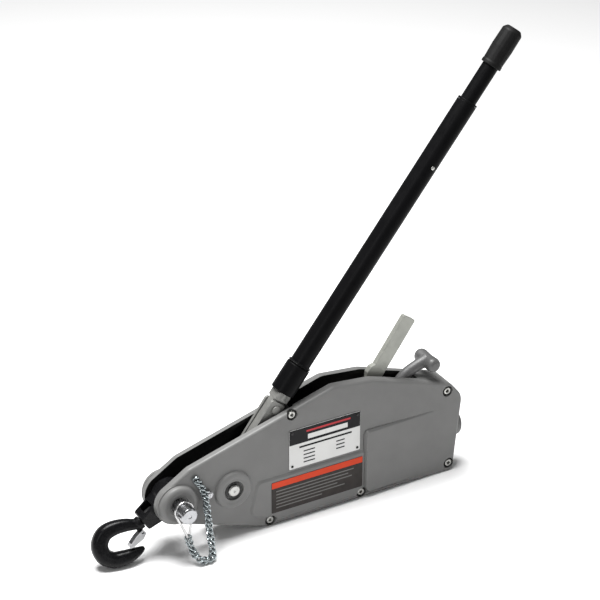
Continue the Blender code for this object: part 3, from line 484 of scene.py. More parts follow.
def apply_all(obj):
    """Make the modifiers' result the object's own mesh."""
    bpy.context.view_layer.update()
    graph = bpy.context.evaluated_depsgraph_get()
    mesh = bpy.data.meshes.new_from_object(obj.evaluated_get(graph))
    obj.modifiers.clear()
    old = obj.data
    obj.data = mesh
    bpy.data.meshes.remove(old)


def combine(obj, others, operation):
    """Join the other pieces to obj or take them from it, one after the other, and delete them."""
    for other in others:
        tool = obj.modifiers.new(operation.lower(), "BOOLEAN")
        tool.operation = operation
        tool.solver = "EXACT"
        tool.object = other
    apply_all(obj)
    for other in others:
        bpy.data.objects.remove(other)


def cut(obj, *others):
    combine(obj, others, "DIFFERENCE")


def add(obj, *others):
    combine(obj, others, "UNION")


def soften(obj, width, segments):
    """Round the edges of a piece."""
    bevel = obj.modifiers.new("edge", "BEVEL")
    bevel.width = width
    bevel.segments = segments
    bevel.limit_method = "ANGLE"
    bevel.angle_limit = math.radians(35)
    bevel.miter_outer = "MITER_ARC"
    apply_all(obj)


def show(obj, look, body, slot, *nodes):
    """Give a piece its look and its body, and let it stand for its CAD nodes."""
    obj.data.materials.clear()
    obj.data.materials.append(LOOKS[look])
    obj.data.shade_smooth()
    obj.data.set_sharp_from_angle(angle=math.radians(32))
    even = obj.modifiers.new("even", "WEIGHTED_NORMAL")
    even.keep_sharp = True
    apply_all(obj)
    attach(obj, body)
    if nodes:
        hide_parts(*nodes)


def keep(node_name, look):
    """A CAD node that stays, with a better material."""
    obj = frame["nodes"][node_name]
    obj.data.materials.clear()
    obj.data.materials.append(LOOKS[look])


def lever_point(distance, offset=0.0):
    """(x, z) at a distance along the forward lever from the main shaft and to its left."""
    return (MAIN_AXIS[0] + distance * LEVER_RUN.x - offset * LEVER_RUN.z,
            MAIN_AXIS[1] + distance * LEVER_RUN.z + offset * LEVER_RUN.x)


def lever_line(distance):
    x, z = lever_point(distance)
    return Vector((x, 0, z))


def lever_outline(corners, steps, closed=True):
    """An outline given by (distance, offset, radius) corners along the forward lever."""
    return [lever_point(d, w) for d, w in rounded(corners, steps, closed)]


LEVER_PLACE = along(lever_line(0), LEVER_RUN)


# -------- case
def case_outline():
    nose = arc(ANCHOR_AXIS, NOSE_RADIUS, math.radians(130), math.radians(251), 24)
    return rounded([*CASE_CORNERS, (*nose[0], 0), (*nose[-1], 0)], 8)[:-2] + nose


def cavity_outline():
    rim = 0.006
    rear, top = CASE_CORNERS[2], CASE_CORNERS[3]
    return rounded([
        (-0.165, rim, 0.02), (CASE_CORNERS[1][0] - rim, rim, 0.004),
        (rear[0] - rim, rear[1] - 0.004, rear[2]), (top[0] - 0.004, top[1] - rim, top[2]),
        (0.016, 0.2, 0.03), (-0.052, 0.207, 0.02),
        (CAVITY_FRONT, 0.1458, 0.004), (CAVITY_FRONT, 0.04, 0.004)], 5)


def within(outline, x, z):
    """Whether a point is inside a closed outline."""
    crossings = 0
    for (x0, z0), (x1, z1) in zip(outline, outline[1:] + outline[:1]):
        if (z0 > z) != (z1 > z) and x < x0 + (z - z0) * (x1 - x0) / (z1 - z0):
            crossings += 1
    return crossings % 2 == 1


def paint_shade_in_hollows(shell):
    """Mark the faces that line the cavity, the slot and the bolt seats for painted shade: they take
    the case's near-black inside colour, mostly as painted shade in these recesses, partly as dark
    grease inside.
    """
    outline = cavity_outline()
    marks = shell.data.attributes.new("hollow", "FLOAT", "FACE")
    for face in shell.data.polygons:
        x, y, z = face.center + face.normal * 0.0006
        wall = abs(y) < SLOT + 0.001 and abs(face.normal.y) > 0.9 and x < SLOT_REAR
        bolt_seat = any(math.hypot(x - a[0], z - a[1]) < COUNTERBORE for a in BOLTS.values())
        lining = wall or bolt_seat or within(outline, x, z)
        marks.data[face.index].value = 1.0 if abs(y) < SIDE - 0.0035 and lining else 0.0


def round_boss(axis, out, height, radius, shoulder, dish):
    """A raised boss with a wide round shoulder, a cast fillet at its foot and a shallow dish."""
    foot, flare = 0.002, 0.0022
    top = foot + height
    dish_rim, dish_floor, dish_depth = dish
    return spun("boss", [
        (0, 0, 0), (radius + flare, 0, 0), (radius + flare, foot, 0),
        (radius, foot + 0.0002, 0.0012), (radius, top, shoulder), (dish_rim, top, 0.0012),
        (dish_floor, top - dish_depth, 0.0012),
        (0, top - dish_depth, 0)], side_place(axis, out * (SIDE - foot), out), 72, 7)


def inset(corners, width):
    """Move a convex outline's corners inwards."""
    moved = []
    count = len(corners)
    for i, (x, z, radius) in enumerate(corners):
        here = Vector((x, z))
        back = (Vector(corners[i - 1][:2]) - here).normalized()
        ahead = (Vector(corners[(i + 1) % count][:2]) - here).normalized()
        inner = here + (back + ahead).normalized() * width / math.sin(back.angle(ahead) / 2)
        moved.append((inner.x, inner.y, max(radius - width, 0.0008)))
    return moved


def raised_panel(corners, width, proud, out):
    """A cast panel with sloping edges, proud of a half's side."""
    work = bmesh.new()
    rings = []
    for outline, depth in ((corners, SIDE - 0.002), (corners, SIDE - 0.0002),
                           (inset(corners, width * 0.7), SIDE + proud * 0.8),
                           (inset(corners, width), SIDE + proud)):
        rings.append([work.verts.new((x, out * depth, z)) for x, z in rounded(outline, 6)])
    bridge(work, rings)
    work.faces.new(rings[0])
    work.faces.new(rings[-1])
    return new_object("panel", work)


def relief_panel(out):
    """The cast panel that stands proud at its front and runs flush with the side at its rear."""
    panel = raised_panel(RELIEF_CORNERS, 0.0034, 0.0052, out)
    for vertex in panel.data.vertices:
        depth = vertex.co.y * out - SIDE
        if depth > -0.001:
            fall = (vertex.co.x - RELIEF_FRONT) / (RELIEF_REAR - RELIEF_FRONT)
            vertex.co.y = out * (SIDE + depth * (1 - fall) - 0.0003 * fall)
    return panel


def relief_groove(out):
    """The shallow groove round the relief panel, which runs out at its rear."""
    corners = inset(RELIEF_CORNERS, -0.0012)
    groove = plate("groove", rounded(corners, 6), *sorted((out * SIDE, out * THROUGH)))
    low_x, high_x = corners[0][0], corners[1][0]
    for vertex in groove.data.vertices:
        if abs(vertex.co.y) < SIDE + 0.001:
            fall = (vertex.co.x - low_x) / (high_x - low_x)
            vertex.co.y = out * (SIDE - 0.0015 + 0.0021 * fall)
    return groove


def case_blank(name, out):
    """A half's solid block, with a round edge along its outer side."""
    shell = plate(name, case_outline(), *sorted((0.0, out * SIDE)))
    vertices = shell.data.vertices
    weights = shell.data.attributes.new("bevel_weight_edge", "FLOAT", "EDGE")
    for edge in shell.data.edges:
        if all(abs(vertices[v].co.y) > SIDE - 0.001 for v in edge.vertices):
            weights.data[edge.index].value = 1.0
    bevel = shell.modifiers.new("edge", "BEVEL")
    bevel.width = 0.0048
    bevel.segments = 6
    bevel.limit_method = "WEIGHT"
    apply_all(shell)
    return shell


def case_bores(out):
    """Cutters for a half's holes and seats."""
    face = out * SIDE
    mouth = Vector(GUIDE_MOUTH)
    behind = mouth + ROPE_RUN * 0.06
    bores = [
        bore(MAIN_AXIS, SHAFT_BORE, 40),
        spun("shaft_recess", [
            (0, 0, 0), (0.0158, 0, 0.001), (0.0158, 0.0036, 0.0012), (0.0172, 0.005, 0),
            (0.0172, 0.02, 0), (0, 0.02, 0)],
            side_place(MAIN_AXIS, face + out * 0.001, out), 56, 5),
        bore(ANCHOR_AXIS, PIN_BORE, 48),
        turned("pin_recess", [(0, 0), (0.015, 0), (0.0162, 0.0012), (0.0162, 0.01), (0, 0.01)],
               side_place(ANCHOR_AXIS, face + out * 0.0048, out), 48),
        cross_rod("reverse_bore", REVERSE_AXIS, 0, out * 0.0235, SIDE_SHAFT_BORE, 24),
        cross_rod("release_bore", RELEASE_AXIS, 0, out * 0.0235, SIDE_SHAFT_BORE, 24),
        rod("guide_bore", mouth - ROPE_RUN * 0.06, behind, 0.0123, 40),
        rod("guide_seat", mouth + ROPE_RUN * 0.0052, behind, 0.0199, 48),
    ]
    for axis in BOLTS.values():
        bores.append(bore(axis, BOLT_BORE, 20))
        bores.append(turned("counterbore", [
            (0, 0), (COUNTERBORE, 0), (COUNTERBORE, 0.0054), (0.0096, 0.0062), (0.0096, 0.02),
            (0, 0.02)], side_place(axis, face - out * 0.006, out), 40))
    if out < 0:
        bores.append(bore(node_axis("chain_screw"), 0.0028, 20, -0.018))
    return bores


def case_half(name, out):
    """One cast half. out is -1 for the near half and +1 for the far one."""
    shell = case_blank(name, out)
    seam = SEAM + out * GAP / 2
    inner = SIDE - 0.004
    inside = out * (SIDE - 0.002)
    trim = []
    if out < 0:
        trim = [block("seam", (-0.5, seam, -0.1), (0.5, 0.1, 0.4))]
    else:
        add(shell, plate("lip", case_outline(), seam, 0.004))
    cut(shell, *trim, relief_groove(out),
        plate("cavity", cavity_outline(), -inner, inner),
        block("slot", (-0.45, -SLOT, 0.1), (SLOT_STEP, SLOT, 0.3)),
        block("slot_rear", (SLOT_STEP - 0.001, -SLOT_NARROW, 0.1),
              (SLOT_REAR, SLOT_NARROW, 0.3)),
        block("mouth", (-0.45, -SLOT, -0.05), (CAVITY_FRONT + 0.002, SLOT, 0.3)))
    fittings = [
        round_boss(MAIN_AXIS, out, 0.006, 0.0305, 0.0046, (0.0235, 0.02, 0.0008)),
        round_boss(ANCHOR_AXIS, out, 0.009, 0.0315, 0.0062, (0.0235, 0.018, 0.002)),
        relief_panel(out), raised_panel(BAND_CORNERS, 0.0048, 0.003, out)]
    for where, axis in BOLTS.items():
        radius = 0.0066 if where == "top_front" else 0.0098
        fittings.append(cross_rod("post", axis, seam + out * GAP, inside, radius, 32))
    for axis in (REVERSE_AXIS, RELEASE_AXIS):
        fittings.append(cross_rod("boss", axis, out * 0.0165, inside, 0.013, 32))
    add(shell, *fittings)
    cut(shell, *case_bores(out))
    paint_shade_in_hollows(shell)
    return shell


def build_case():
    show(case_half("near_case_casting", -1), "case", "case", "case_paint", "near_case")
    show(case_half("far_case_casting", 1), "case", "case", "case_paint", "far_case")


def build_fasteners():
    for where, axis in BOLTS.items():
        low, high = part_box("bolt_" + where)
        length, neck = high.y - low.y, high.y + 0.0208
        screw = spun("cap_screw_" + where, [
            (0, 0, 0), (0.004, 0, 0.0004), (0.004, neck, 0), (0.0058, neck, 0.0003),
            (0.0058, length, 0.001), (0.0034, length, 0.0004), (0.0034, length - 0.0006, 0),
            (0, length - 0.0006, 0)], side_place(axis, high.y), 36)
        cut(screw, cross_rod("socket", axis, low.y - 0.01, low.y + 0.0036, 0.0031, 6))
        show(screw, "fastener", "case", "fastener_steel", "bolt_" + where)
        washer = turned("washer_" + where, rounded([
            (0.0086, 0, 0), (0.0086, 0.001, 0.0003), (0.006, 0.001, 0), (0.006, 0, 0)], 3),
            side_place(axis, -SIDE + 0.006), 40)
        show(washer, "black_steel", "case", "fastener_steel")
        low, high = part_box("nut_" + where)
        height = high.y - low.y
        nut = cross_rod("hex_nut_" + where, axis, low.y, high.y, 0.0072, 6)
        crown = spun("crown", [
            (0, 0, 0), (0.0075, 0, 0), (0.0075, height - 0.0006, 0.0004), (0.0062, height, 0),
            (0, height, 0)], side_place(axis, low.y, 1), 40, 3)
        combine(nut, [crown], "INTERSECT")
        cut(nut, bore(axis, BOLT_BORE, 24))
        show(nut, "fastener", "case", "fastener_steel", "nut_" + where)


def build_shafts():
    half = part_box("main_shaft")[1].y
    shaft = spun("main_shaft_ground", [
        (0, -half, 0), (0.008, -half, 0.0006), (0.0097, -half + 0.0016, 0.0006),
        (0.0097, half - 0.0016, 0.0006), (0.008, half, 0.0006), (0.0022, half, 0),
        (0, half - 0.0016, 0)], side_place(MAIN_AXIS, 0), 56, 5)
    show(shaft, "shaft", "case", "shaft_steel", "main_shaft")
    open_low, open_high = math.radians(112), math.radians(428)
    for side in ("near", "far"):
        low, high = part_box("circlip_" + side)
        edge = (arc((0, 0), 0.0138, open_low, open_high, 40)
                + arc((0, 0), 0.0101, open_high, open_low, 40))
        clip = plate("snap_ring_" + side, [(MAIN_AXIS[0] + x, MAIN_AXIS[1] + z) for x, z in edge],
                     low.y, high.y)
        for turn in (math.radians(104), math.radians(76)):
            centre = arc(MAIN_AXIS, 0.0128, turn, turn, 1)[0]
            add(clip, cross_rod("lug", centre, low.y, high.y, 0.0023, 20))
            cut(clip, bore(centre, 0.001, 12))
        soften(clip, 0.0002, 2)
        show(clip, "black_steel", "case", "fastener_steel", "circlip_" + side)

    low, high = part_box("anchor_pin")
    tip, head = -low.y, high.y
    pin = spun("anchor_pin_plated", [
        (0, tip - 0.0004, 0), (0.0112, tip, 0.0012), (0.0132, tip - 0.0018, 0.0012),
        (0.0132, 0.05, 0.0006), (0.0106, 0.049, 0.0005), (0.0106, 0.0442, 0.0005),
        (0.0125, 0.0432, 0.0004), (0.0125, -0.0354, 0.0003), (0.0178, -0.0354, 0.0003),
        (0.0178, -head, 0.0014), (0, -head, 0)], side_place(ANCHOR_AXIS, 0), 64, 5)
    cut(pin, turned("pin_centre", [(0, 0), (0.003, 0), (0.0034, 0.001), (0.0034, 0.01), (0, 0.01)],
                    side_place(ANCHOR_AXIS, -tip + 0.0014), 24))
    show(pin, "zinc", "case", "bright_zinc", "anchor_pin")


# (x, y, z) route of the retaining chain's centre line, from its screw to the clip
CHAIN_ROUTE = [
    (-0.2885, -0.0300, 0.1240),
    (-0.2820, -0.0318, 0.1120),
    (-0.2770, -0.0345, 0.0960),
    (-0.2765, -0.0400, 0.0700),
    (-0.2775, -0.0480, 0.0400),
    (-0.2790, -0.0580, 0.0160),
    (-0.2830, -0.0650, 0.0078),
    (-0.2920, -0.0672, 0.0068),
    (-0.3020, -0.0650, 0.0090),
    (-0.3080, -0.0580, 0.0160),
    (-0.3110, -0.0500, 0.0280),
    (-0.3125, -0.0468, 0.0395),
]


def chain_link(centre, tangent, normal):
    """The closed centre line of one twisted link."""
    side = tangent.cross(normal)
    points = []
    for k in range(22):
        a = 2 * math.pi * k / 22
        run = LINK_LENGTH / 2 * math.copysign(abs(math.cos(a)) ** 0.8, math.cos(a))
        width = LINK_WIDTH / 2 * math.copysign(abs(math.sin(a)) ** 0.9, math.sin(a))
        twist = math.radians(55) * run / (LINK_LENGTH / 2)
        points.append(centre + tangent * run
                      + (side * math.cos(twist) + normal * math.sin(twist)) * width)
    return points


def build_chain():
    """Links at an even pitch along the route, each turned a little further than the last."""
    path = [Vector(p) for p in smooth_path(CHAIN_ROUTE, 14)]
    lengths = [0.0]
    for a, b in zip(path, path[1:]):
        lengths.append(lengths[-1] + (b - a).length)
    count = int(lengths[-1] / CHAIN_PITCH)
    work = bmesh.new()
    reference = Vector((0.3, -1, 0)).normalized()
    for i in range(count + 1):
        target = lengths[-1] * i / count
        k = next(n for n in range(1, len(path)) if lengths[n] >= target - 1e-9)
        share = (target - lengths[k - 1]) / (lengths[k] - lengths[k - 1])
        centre = path[k - 1].lerp(path[k], share)
        tangent = (path[k] - path[k - 1]).normalized()
        base = (reference - tangent * reference.dot(tangent)).normalized()
        normal = Matrix.Rotation(math.radians(42 * i), 3, tangent) @ base
        line = chain_link(centre, tangent, normal)
        link = sweep("link", line, [0.0017] * len(line), 10, True, normal)
        work.from_mesh(link.data)
        bpy.data.objects.remove(link)
    show(new_object("retaining_chain_links", work), "chain", "case", "bright_zinc",
         "retaining_chain")


def build_clip():
    """Round wire clip: a coil round the pin's groove that runs down to a narrow loop."""
    x, z = ANCHOR_AXIS
    tail = Vector((x + 0.006, -0.0455, z - 0.0485))
    coil = arc(ANCHOR_AXIS, 0.0142, math.radians(-8), math.radians(202), 33)
    loop = [tuple(tail + Vector(p)) for p in (
        (-0.003, 0, 0.0062), (-0.002, 0, 0.0016), (-0.0011, 0, 0.0002), (0.0, 0, -0.0003),
        (0.0011, 0, 0.0002), (0.002, 0, 0.0016), (0.0028, 0, 0.0062))]
    path = [(x, -0.0466, z) for x, z in coil] + loop
    path = smooth_path(path + [path[0]], 3)[:-1]
    clip = sweep("lock_clip_wire", path, [0.0019] * len(path), 14, True)
    show(clip, "clip", "case", "bright_zinc", "lock_clip")


def build_chain_screw():
    low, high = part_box("chain_screw")
    x, z = node_axis("chain_screw")
    height = high.y - low.y
    screw = spun("chain_screw_plated", [
        (0, 0, 0), (0.0025, 0, 0), (0.0025, 0.0064, 0), (0.0052, 0.0064, 0.0003),
        (0.0052, 0.0078, 0.0003), (0.003, 0.008, 0.0002), (0.003, height - 0.0046, 0.0002),
        (0.0064, height - 0.0044, 0.0006), (0.0064, height - 0.0014, 0.0012),
        (0.004, height, 0.001), (0, height, 0)], side_place((x, z), high.y), 32)
    cut(screw, block("slot", (x - 0.0005, low.y - 0.001, z - 0.008),
                     (x + 0.0005, low.y + 0.001, z + 0.008)))
    show(screw, "zinc", "case", "bright_zinc", "chain_screw")


def bars(name, look, rows, y_face):
    """Thin printed bars, each (x low, z low, x high, z high)."""
    work = bmesh.new()
    for x0, z0, x1, z1 in rows:
        bar = block("bar", (x0, y_face - INK, z0), (x1, y_face, z1))
        work.from_mesh(bar.data)
        bpy.data.objects.remove(bar)
    slot = "plate_enamel" if name.startswith("plate") else "label_vinyl"
    show(new_object(name, work), look, "case", slot)


def shares(low, high, rows):
    """Bars given by shares of a sheet's width and height from its lower front corner."""
    wide, tall = high.x - low.x, high.z - low.z
    return [(low.x + wide * x0, low.z + tall * z0, low.x + wide * x1, low.z + tall * z1)
            for x0, z0, x1, z1 in rows]


def sheet_outline(low, high):
    return rounded(rectangle(low.x, low.z, high.x, high.z, 0.002), 5)


def build_rating_plate():
    low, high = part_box("rating_plate")
    face, tall = low.y, high.z - low.z
    sheet = plate("rating_plate_sheet", sheet_outline(low, high), low.y, high.y)
    rivets = [n + "_" + m for n in ("lower", "upper") for m in ("front", "rear")]
    cut(sheet, *[bore(node_axis("plate_rivet_" + n), 0.0013, 16, 0) for n in rivets])
    soften(sheet, 0.0002, 2)
    show(sheet, "plate", "case", "plate_enamel", "rating_plate")
    for name in rivets:
        head_low, head_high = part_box("plate_rivet_" + name)
        height = head_high.y - head_low.y
        rivet = spun("round_rivet_" + name, [
            (0, 0, 0), (0.001, 0, 0), (0.001, 0.0011, 0), (0.0023, 0.0011, 0.0002),
            (0.002, height - 0.0003, 0.0008), (0, height, 0)],
            side_place(node_axis("plate_rivet_" + name), head_high.y), 24)
        show(rivet, "black_steel", "case", "fastener_steel", "plate_rivet_" + name)
    bars("plate_header", "plate_dark", [
        (low.x + 0.0003, low.z + tall * 0.62, high.x - 0.0003, high.z - 0.0003)], face)
    bars("plate_stripe", "plate_red", shares(low, high, [(0.24, 0.87, 0.86, 0.915)]), face - INK)
    bars("plate_header_panel", "plate", shares(low, high, [(0.26, 0.685, 0.82, 0.805)]),
         face - INK)
    rows = [(0.14, 0.5, 0.88, 0.545)]
    for i in range(4):
        z = 0.38 - 0.095 * i
        rows.append((0.2, z, 0.36, z + 0.03))
        if i < 3:
            rows.append((0.66, z, 0.78, z + 0.03))
    bars("plate_blank_lines", "plate_dark", shares(low, high, rows), face)


def build_label():
    """The printed film, which lies on the raised band."""
    low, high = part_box("info_label")
    face = low.y - 0.0016
    film = plate("info_label_film", sheet_outline(low, high), face, high.y - 0.0001)
    soften(film, 0.0001, 1)
    show(film, "label_dark", "case", "label_vinyl", "info_label")
    bars("label_band", "label_orange", [
        (low.x + 0.0006, high.z - (high.z - low.z) * 0.2, high.x - 0.0006, high.z - 0.0006)],
        face)
    rows = []
    for i, end in enumerate((0.9, 0.84, 0.88, 0.72, 0.8, 0.55)):
        top = 0.7 - 0.105 * i
        rows.append((0.05, top - 0.035, end, top))
    bars("label_blank_lines", "label_line", shares(low, high, rows), face)


def build_guide():
    collar, tube, hole, inner, end, seat = 0.0195, 0.012, 0.007, -0.0307, 0.02, 0.0055
    guide = turned("rope_guide_collar", rounded([
        (collar, end, 0.0026), (collar, seat, 0), (tube, seat, 0.0004), (tube, inner, 0.0006),
        (hole + 0.0012, inner, 0.0006), (hole, inner + 0.003, 0.001), (hole, end - 0.0045, 0.002),
        (hole + 0.0042, end, 0.0022)], 6), along(Vector(GUIDE_MOUTH), ROPE_RUN), 64)
    show(guide, "guide", "case", "guide_iron", "rope_guide")


# -------- forward lever and handle
def cheek_outline():
    eye = 0.0115
    end = [lever_point(-CRANK + x, z)
           for x, z in arc((0, 0), eye, math.radians(90), math.radians(270), 18)]
    return end + lever_outline([
        (-0.004, -0.019, 0.006), (0.014, -0.0188, 0.012), (0.06, -0.0125, 0.02),
        (0.1455, -0.0125, 0.004), (0.1455, 0.015, 0.005), (0.06, 0.0132, 0.02),
        (0.014, 0.0188, 0.012), (-0.004, 0.019, 0.006)], 5, closed=False)


def build_lever():
    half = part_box("forward_crank")[1].y
    pins = ("shear_pin_lower", "shear_pin_upper")
    crank = cross_rod("crank_forging", MAIN_AXIS, -0.0105, 0.0105, 0.0165, 48)
    for side, start in (("near", -half), ("far", half - CHEEK)):
        cheek = plate("cheek_" + side, cheek_outline(), start, start + CHEEK)
        soften(cheek, 0.0009, 3)
        add(crank, cheek)
    cut(crank, bore(MAIN_AXIS, SHAFT_BORE, 40),
        *[bore(lever_point(d), 0.0053, 24) for d in (CRANK, -CRANK)],
        *[bore(node_axis(name), SHEAR_BORE, 24) for name in pins])
    show(crank, "forging", "forward_lever", "lever_forging", "forward_crank")

    stub = plate("lever_stub_forging", lever_outline([
        (0.066, -0.012, 0.003), (0.155, -0.012, 0.002), (0.155, 0.0115, 0.002),
        (0.066, 0.0115, 0.003)], 4), -0.006, 0.006)
    shoulder = plate("shoulder", lever_outline(
        rectangle(0.148, -0.013, 0.1608, 0.0122, 0.002), 4), -0.0105, 0.0105)
    soften(shoulder, 0.001, 3)
    post = spun("post", [(0, 0, 0), (0.012, 0, 0), (0.012, 0.0965, 0.002), (0, 0.0965, 0)],
                along(lever_line(0.1515), LEVER_RUN), 48, 5)
    add(stub, shoulder, post)
    cut(stub, *[bore(node_axis(name), SHEAR_BORE, 24) for name in pins])
    show(stub, "forging", "forward_lever", "lever_forging", "lever_stub")
    for name in pins:
        low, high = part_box(name)
        length, neck = high.y - low.y, high.y + 0.0111
        pin = spun(name + "_riveted", [
            (0, 0, 0), (0.004, 0, 0.0006), (0.004, neck, 0), (0.007, neck, 0.0003),
            (0.0066, length - 0.0006, 0.0012), (0.003, length, 0.001), (0, length, 0)],
            side_place(node_axis(name), high.y), 40)
        show(pin, "forging", "forward_lever", "bright_zinc", name)
    for name in ("crank_pin_upper_near", "crank_pin_upper_far", "crank_pin_lower"):
        keep(name, "shaft")


def round_lever(vertex):
    """A vertex's distance along the forward lever, its offset from that line and its angle."""
    distance = (vertex.co - lever_line(0)).dot(LEVER_RUN)
    across = vertex.co - lever_line(distance)
    return distance, across, math.atan2(across.y, across.dot(LEVER_LEFT))


def build_handle():
    start, end = 0.1615, 0.2085
    socket = turned("handle_socket_turned", rounded([
        (0.019, end, 0.0022), (0.019, start, 0.0016), (0.0125, start, 0.0008),
        (0.0125, 0.175, 0.0004), (0.0163, 0.176, 0), (0.0163, end, 0.0003)], 5),
        LEVER_PLACE, 56)
    show(socket, "handle", "handle", "handle_black", "handle_socket")
    tube = turned("handle_tube_drawn", rounded([
        (0.016, TUBE_END, 0.0008), (0.016, 0.1764, 0.0006), (0.0135, 0.1764, 0),
        (0.0135, TUBE_END, 0.0008)], 4), LEVER_PLACE, 56)
    stop = node_axis("handle_rivet")
    cut(tube, bore(stop, 0.0033, 24, 0))
    show(tube, "handle", "handle", "handle_black", "handle_tube")
    weld = turned("socket_weld", [
        (0.0162 + 0.0022 * math.sin(math.pi * i / 8), 0.2084 + 0.0042 * i / 8) for i in range(9)]
        + [(0.0162, 0.2126), (0.01605, 0.2084)], LEVER_PLACE, 96)
    for vertex in weld.data.vertices:
        distance, across, turn = round_lever(vertex)
        if across.length > 0.0165:
            ripple = math.sin(turn * 26 + distance * 900)
            vertex.co += across.normalized() * 0.00022 * ripple
    show(weld, "handle", "handle", "handle_black")
    rivet = spun("handle_button", [
        (0, 0.0136, 0), (0.003, 0.0136, 0), (0.003, 0.016, 0.0005), (0.0016, 0.0168, 0.0006),
        (0, 0.0169, 0)], side_place(stop, 0), 32)
    show(rivet, "fastener", "handle", "fastener_steel", "handle_rivet")
    collar = turned("tube_mouth_ring", rounded([
        (0.016, 0.6745, 0.001), (0.016, 0.6712, 0), (0.0129, 0.6712, 0),
        (0.0129, 0.6745, 0.0008)], 4), LEVER_PLACE, 56)
    show(collar, "handle", "handle", "handle_black")

    inner = turned("inner_tube_drawn", rounded([
        (0.0127, 0.794, 0), (0.0127, 0.42, 0.0006), (0.0107, 0.42, 0), (0.0107, 0.794, 0)], 4),
        LEVER_PLACE, 48)
    show(inner, "handle", "inner_handle", "handle_black", "inner_tube")
    grip = spun("handle_grip_moulded", [
        (0, 0.8, 0), (0.011, 0.7998, 0.004), (0.016, 0.794, 0.006), (0.0168, 0.766, 0.02),
        (0.0156, 0.742, 0.004), (0.0163, 0.7395, 0.0012), (0.0163, 0.735, 0.0012),
        (0.0131, 0.735, 0), (0.0131, 0.7945, 0), (0, 0.7945, 0)], LEVER_PLACE, 72, 6)
    for vertex in grip.data.vertices:
        distance, across, turn = round_lever(vertex)
        if across.length > 0.014 and 0.744 < distance < 0.79:
            vertex.co -= across.normalized() * 0.00022 * (1 + math.cos(turn * 18))
    show(grip, "grip", "inner_handle", "grip_rubber", "handle_grip")


def keep_mechanism():
    for name in frame["nodes"]:
        if "rod_" in name or name.endswith("jaw_frame"):
            keep(name, "mechanism")
        elif name in ("front_jaw_upper", "front_jaw_lower", "rear_jaw_upper", "rear_jaw_lower"):
            keep(name, "jaw")
        elif name in ("front_jaw_pin", "rear_jaw_pin", "reverse_shaft", "release_shaft"):
            keep(name, "shaft")


# -------- reversing and release levers
def reverse_point(distance, offset=0.0):
    """(x, z) at a distance along the reversing lever from its shaft and to its left."""
    c, s = math.cos(REVERSE_ANGLE), math.sin(REVERSE_ANGLE)
    return (REVERSE_AXIS[0] + distance * c - offset * s,
            REVERSE_AXIS[1] + distance * s + offset * c)


def reverse_outline(corners, steps=1):
    return [reverse_point(d, w) for d, w in rounded(corners, steps)]


def build_reverse_lever():
    half, reach = 0.0122, 0.16
    lever = plate("reversing_bar", reverse_outline([
        (-0.04, -0.0085, 0.002), (-0.01, -0.013, 0.004), (0.01, -0.013, 0.01),
        (0.04, -half, 0.01), (reach, -half, 0.0032), (reach, half, 0.0032), (0.072, half, 0.003),
        (0.066, half + 0.0055, 0.0025), (0.056, half + 0.006, 0.003), (0.046, half, 0.004),
        (0.01, 0.013, 0.01), (-0.01, 0.013, 0.004), (-0.04, 0.0085, 0.002)], 6),
        -0.0047, 0.0047)
    soften(lever, 0.0011, 3)
    low_end = reverse_point(-REVERSE_ARM)
    tail = cross_rod("tail", low_end, -0.0092, 0.0092, 0.0082, 36)
    neck = plate("neck", reverse_outline([
        (-REVERSE_ARM, -0.008, 0), (-0.012, -0.011, 0), (-0.012, 0.011, 0),
        (-REVERSE_ARM, 0.008, 0)]), -0.0092, 0.0092)
    hub = cross_rod("hub", REVERSE_AXIS, -0.0135, 0.0135, 0.0135, 48)
    add(lever, tail, neck, hub)
    cut(lever, plate("fork_gap", reverse_outline(rectangle(-0.07, -0.03, -0.019, 0.03)),
                     -0.0032, 0.0032))
    add(lever, cross_rod("drive_pin", low_end, -0.0085, 0.0085, 0.004, 24))
    cut(lever, bore(REVERSE_AXIS, SIDE_SHAFT_BORE, 36))
    show(lever, "bar", "reverse_lever", "reverse_bar", "reverse_lever")


def build_release_lever():
    x, z = RELEASE_AXIS
    hub = cross_rod("release_lever_casting", RELEASE_AXIS, -0.013, 0.013, 0.0145, 48)
    spine = smooth_path([
        (x + 0.002, 0.0, z + 0.004, 1.18), (x + 0.01, 0.0, z + 0.024, 1.06),
        (x + 0.026, 0.0, z + 0.04, 1.0), (x + 0.046, 0.0, z + 0.049, 1.0),
        (x + 0.0625, 0.0, z + 0.0535, 1.22)], 8)
    arm = sweep("arm", [p[:3] for p in spine], [0.009 * p[3] for p in spine], 28)
    half = 0.025
    bar = spun("bar", [
        (0, -half, 0), (0.0098, -half + 0.0002, 0.007), (0.0118, -0.017, 0.012),
        (0.0108, 0.0, 0.05), (0.0118, 0.017, 0.012), (0.0098, half - 0.0002, 0.007),
        (0, half, 0)], side_place((x + 0.064, z + 0.0525), 0, 1), 40, 8)
    add(hub, arm, bar)
    cut(hub, bore(RELEASE_AXIS, SIDE_SHAFT_BORE, 36))
    show(hub, "release", "release_lever", "release_paint", "release_lever")


# -------- yoke, hook and latch
SWIVEL = math.radians(22.0)
YOKE_UP = Vector((0, 1, 0)).cross(YOKE_RUN)


def yoke_point(distance, offset=0.0, y=0.0):
    """A point at a distance down the yoke from the anchor pin, above its axis, and sideways."""
    return (Vector((ANCHOR_AXIS[0], 0, ANCHOR_AXIS[1])) + YOKE_RUN * distance
            + YOKE_UP * offset + Vector((0, y, 0)))


def hook_point(distance, offset, side=0.0):
    """A point in the hook's own plane, which is swivelled about the yoke's axis."""
    across = offset * math.cos(SWIVEL) + side * math.sin(SWIVEL)
    sideways = offset * math.sin(SWIVEL) - side * math.cos(SWIVEL)
    return yoke_point(distance, across, sideways)


def yoke_outline(corners, steps=1):
    """An outline in the middle plane, given by (distance, offset, radius) corners down the yoke."""
    return [yoke_point(d, w).xz for d, w in rounded(corners, steps)]


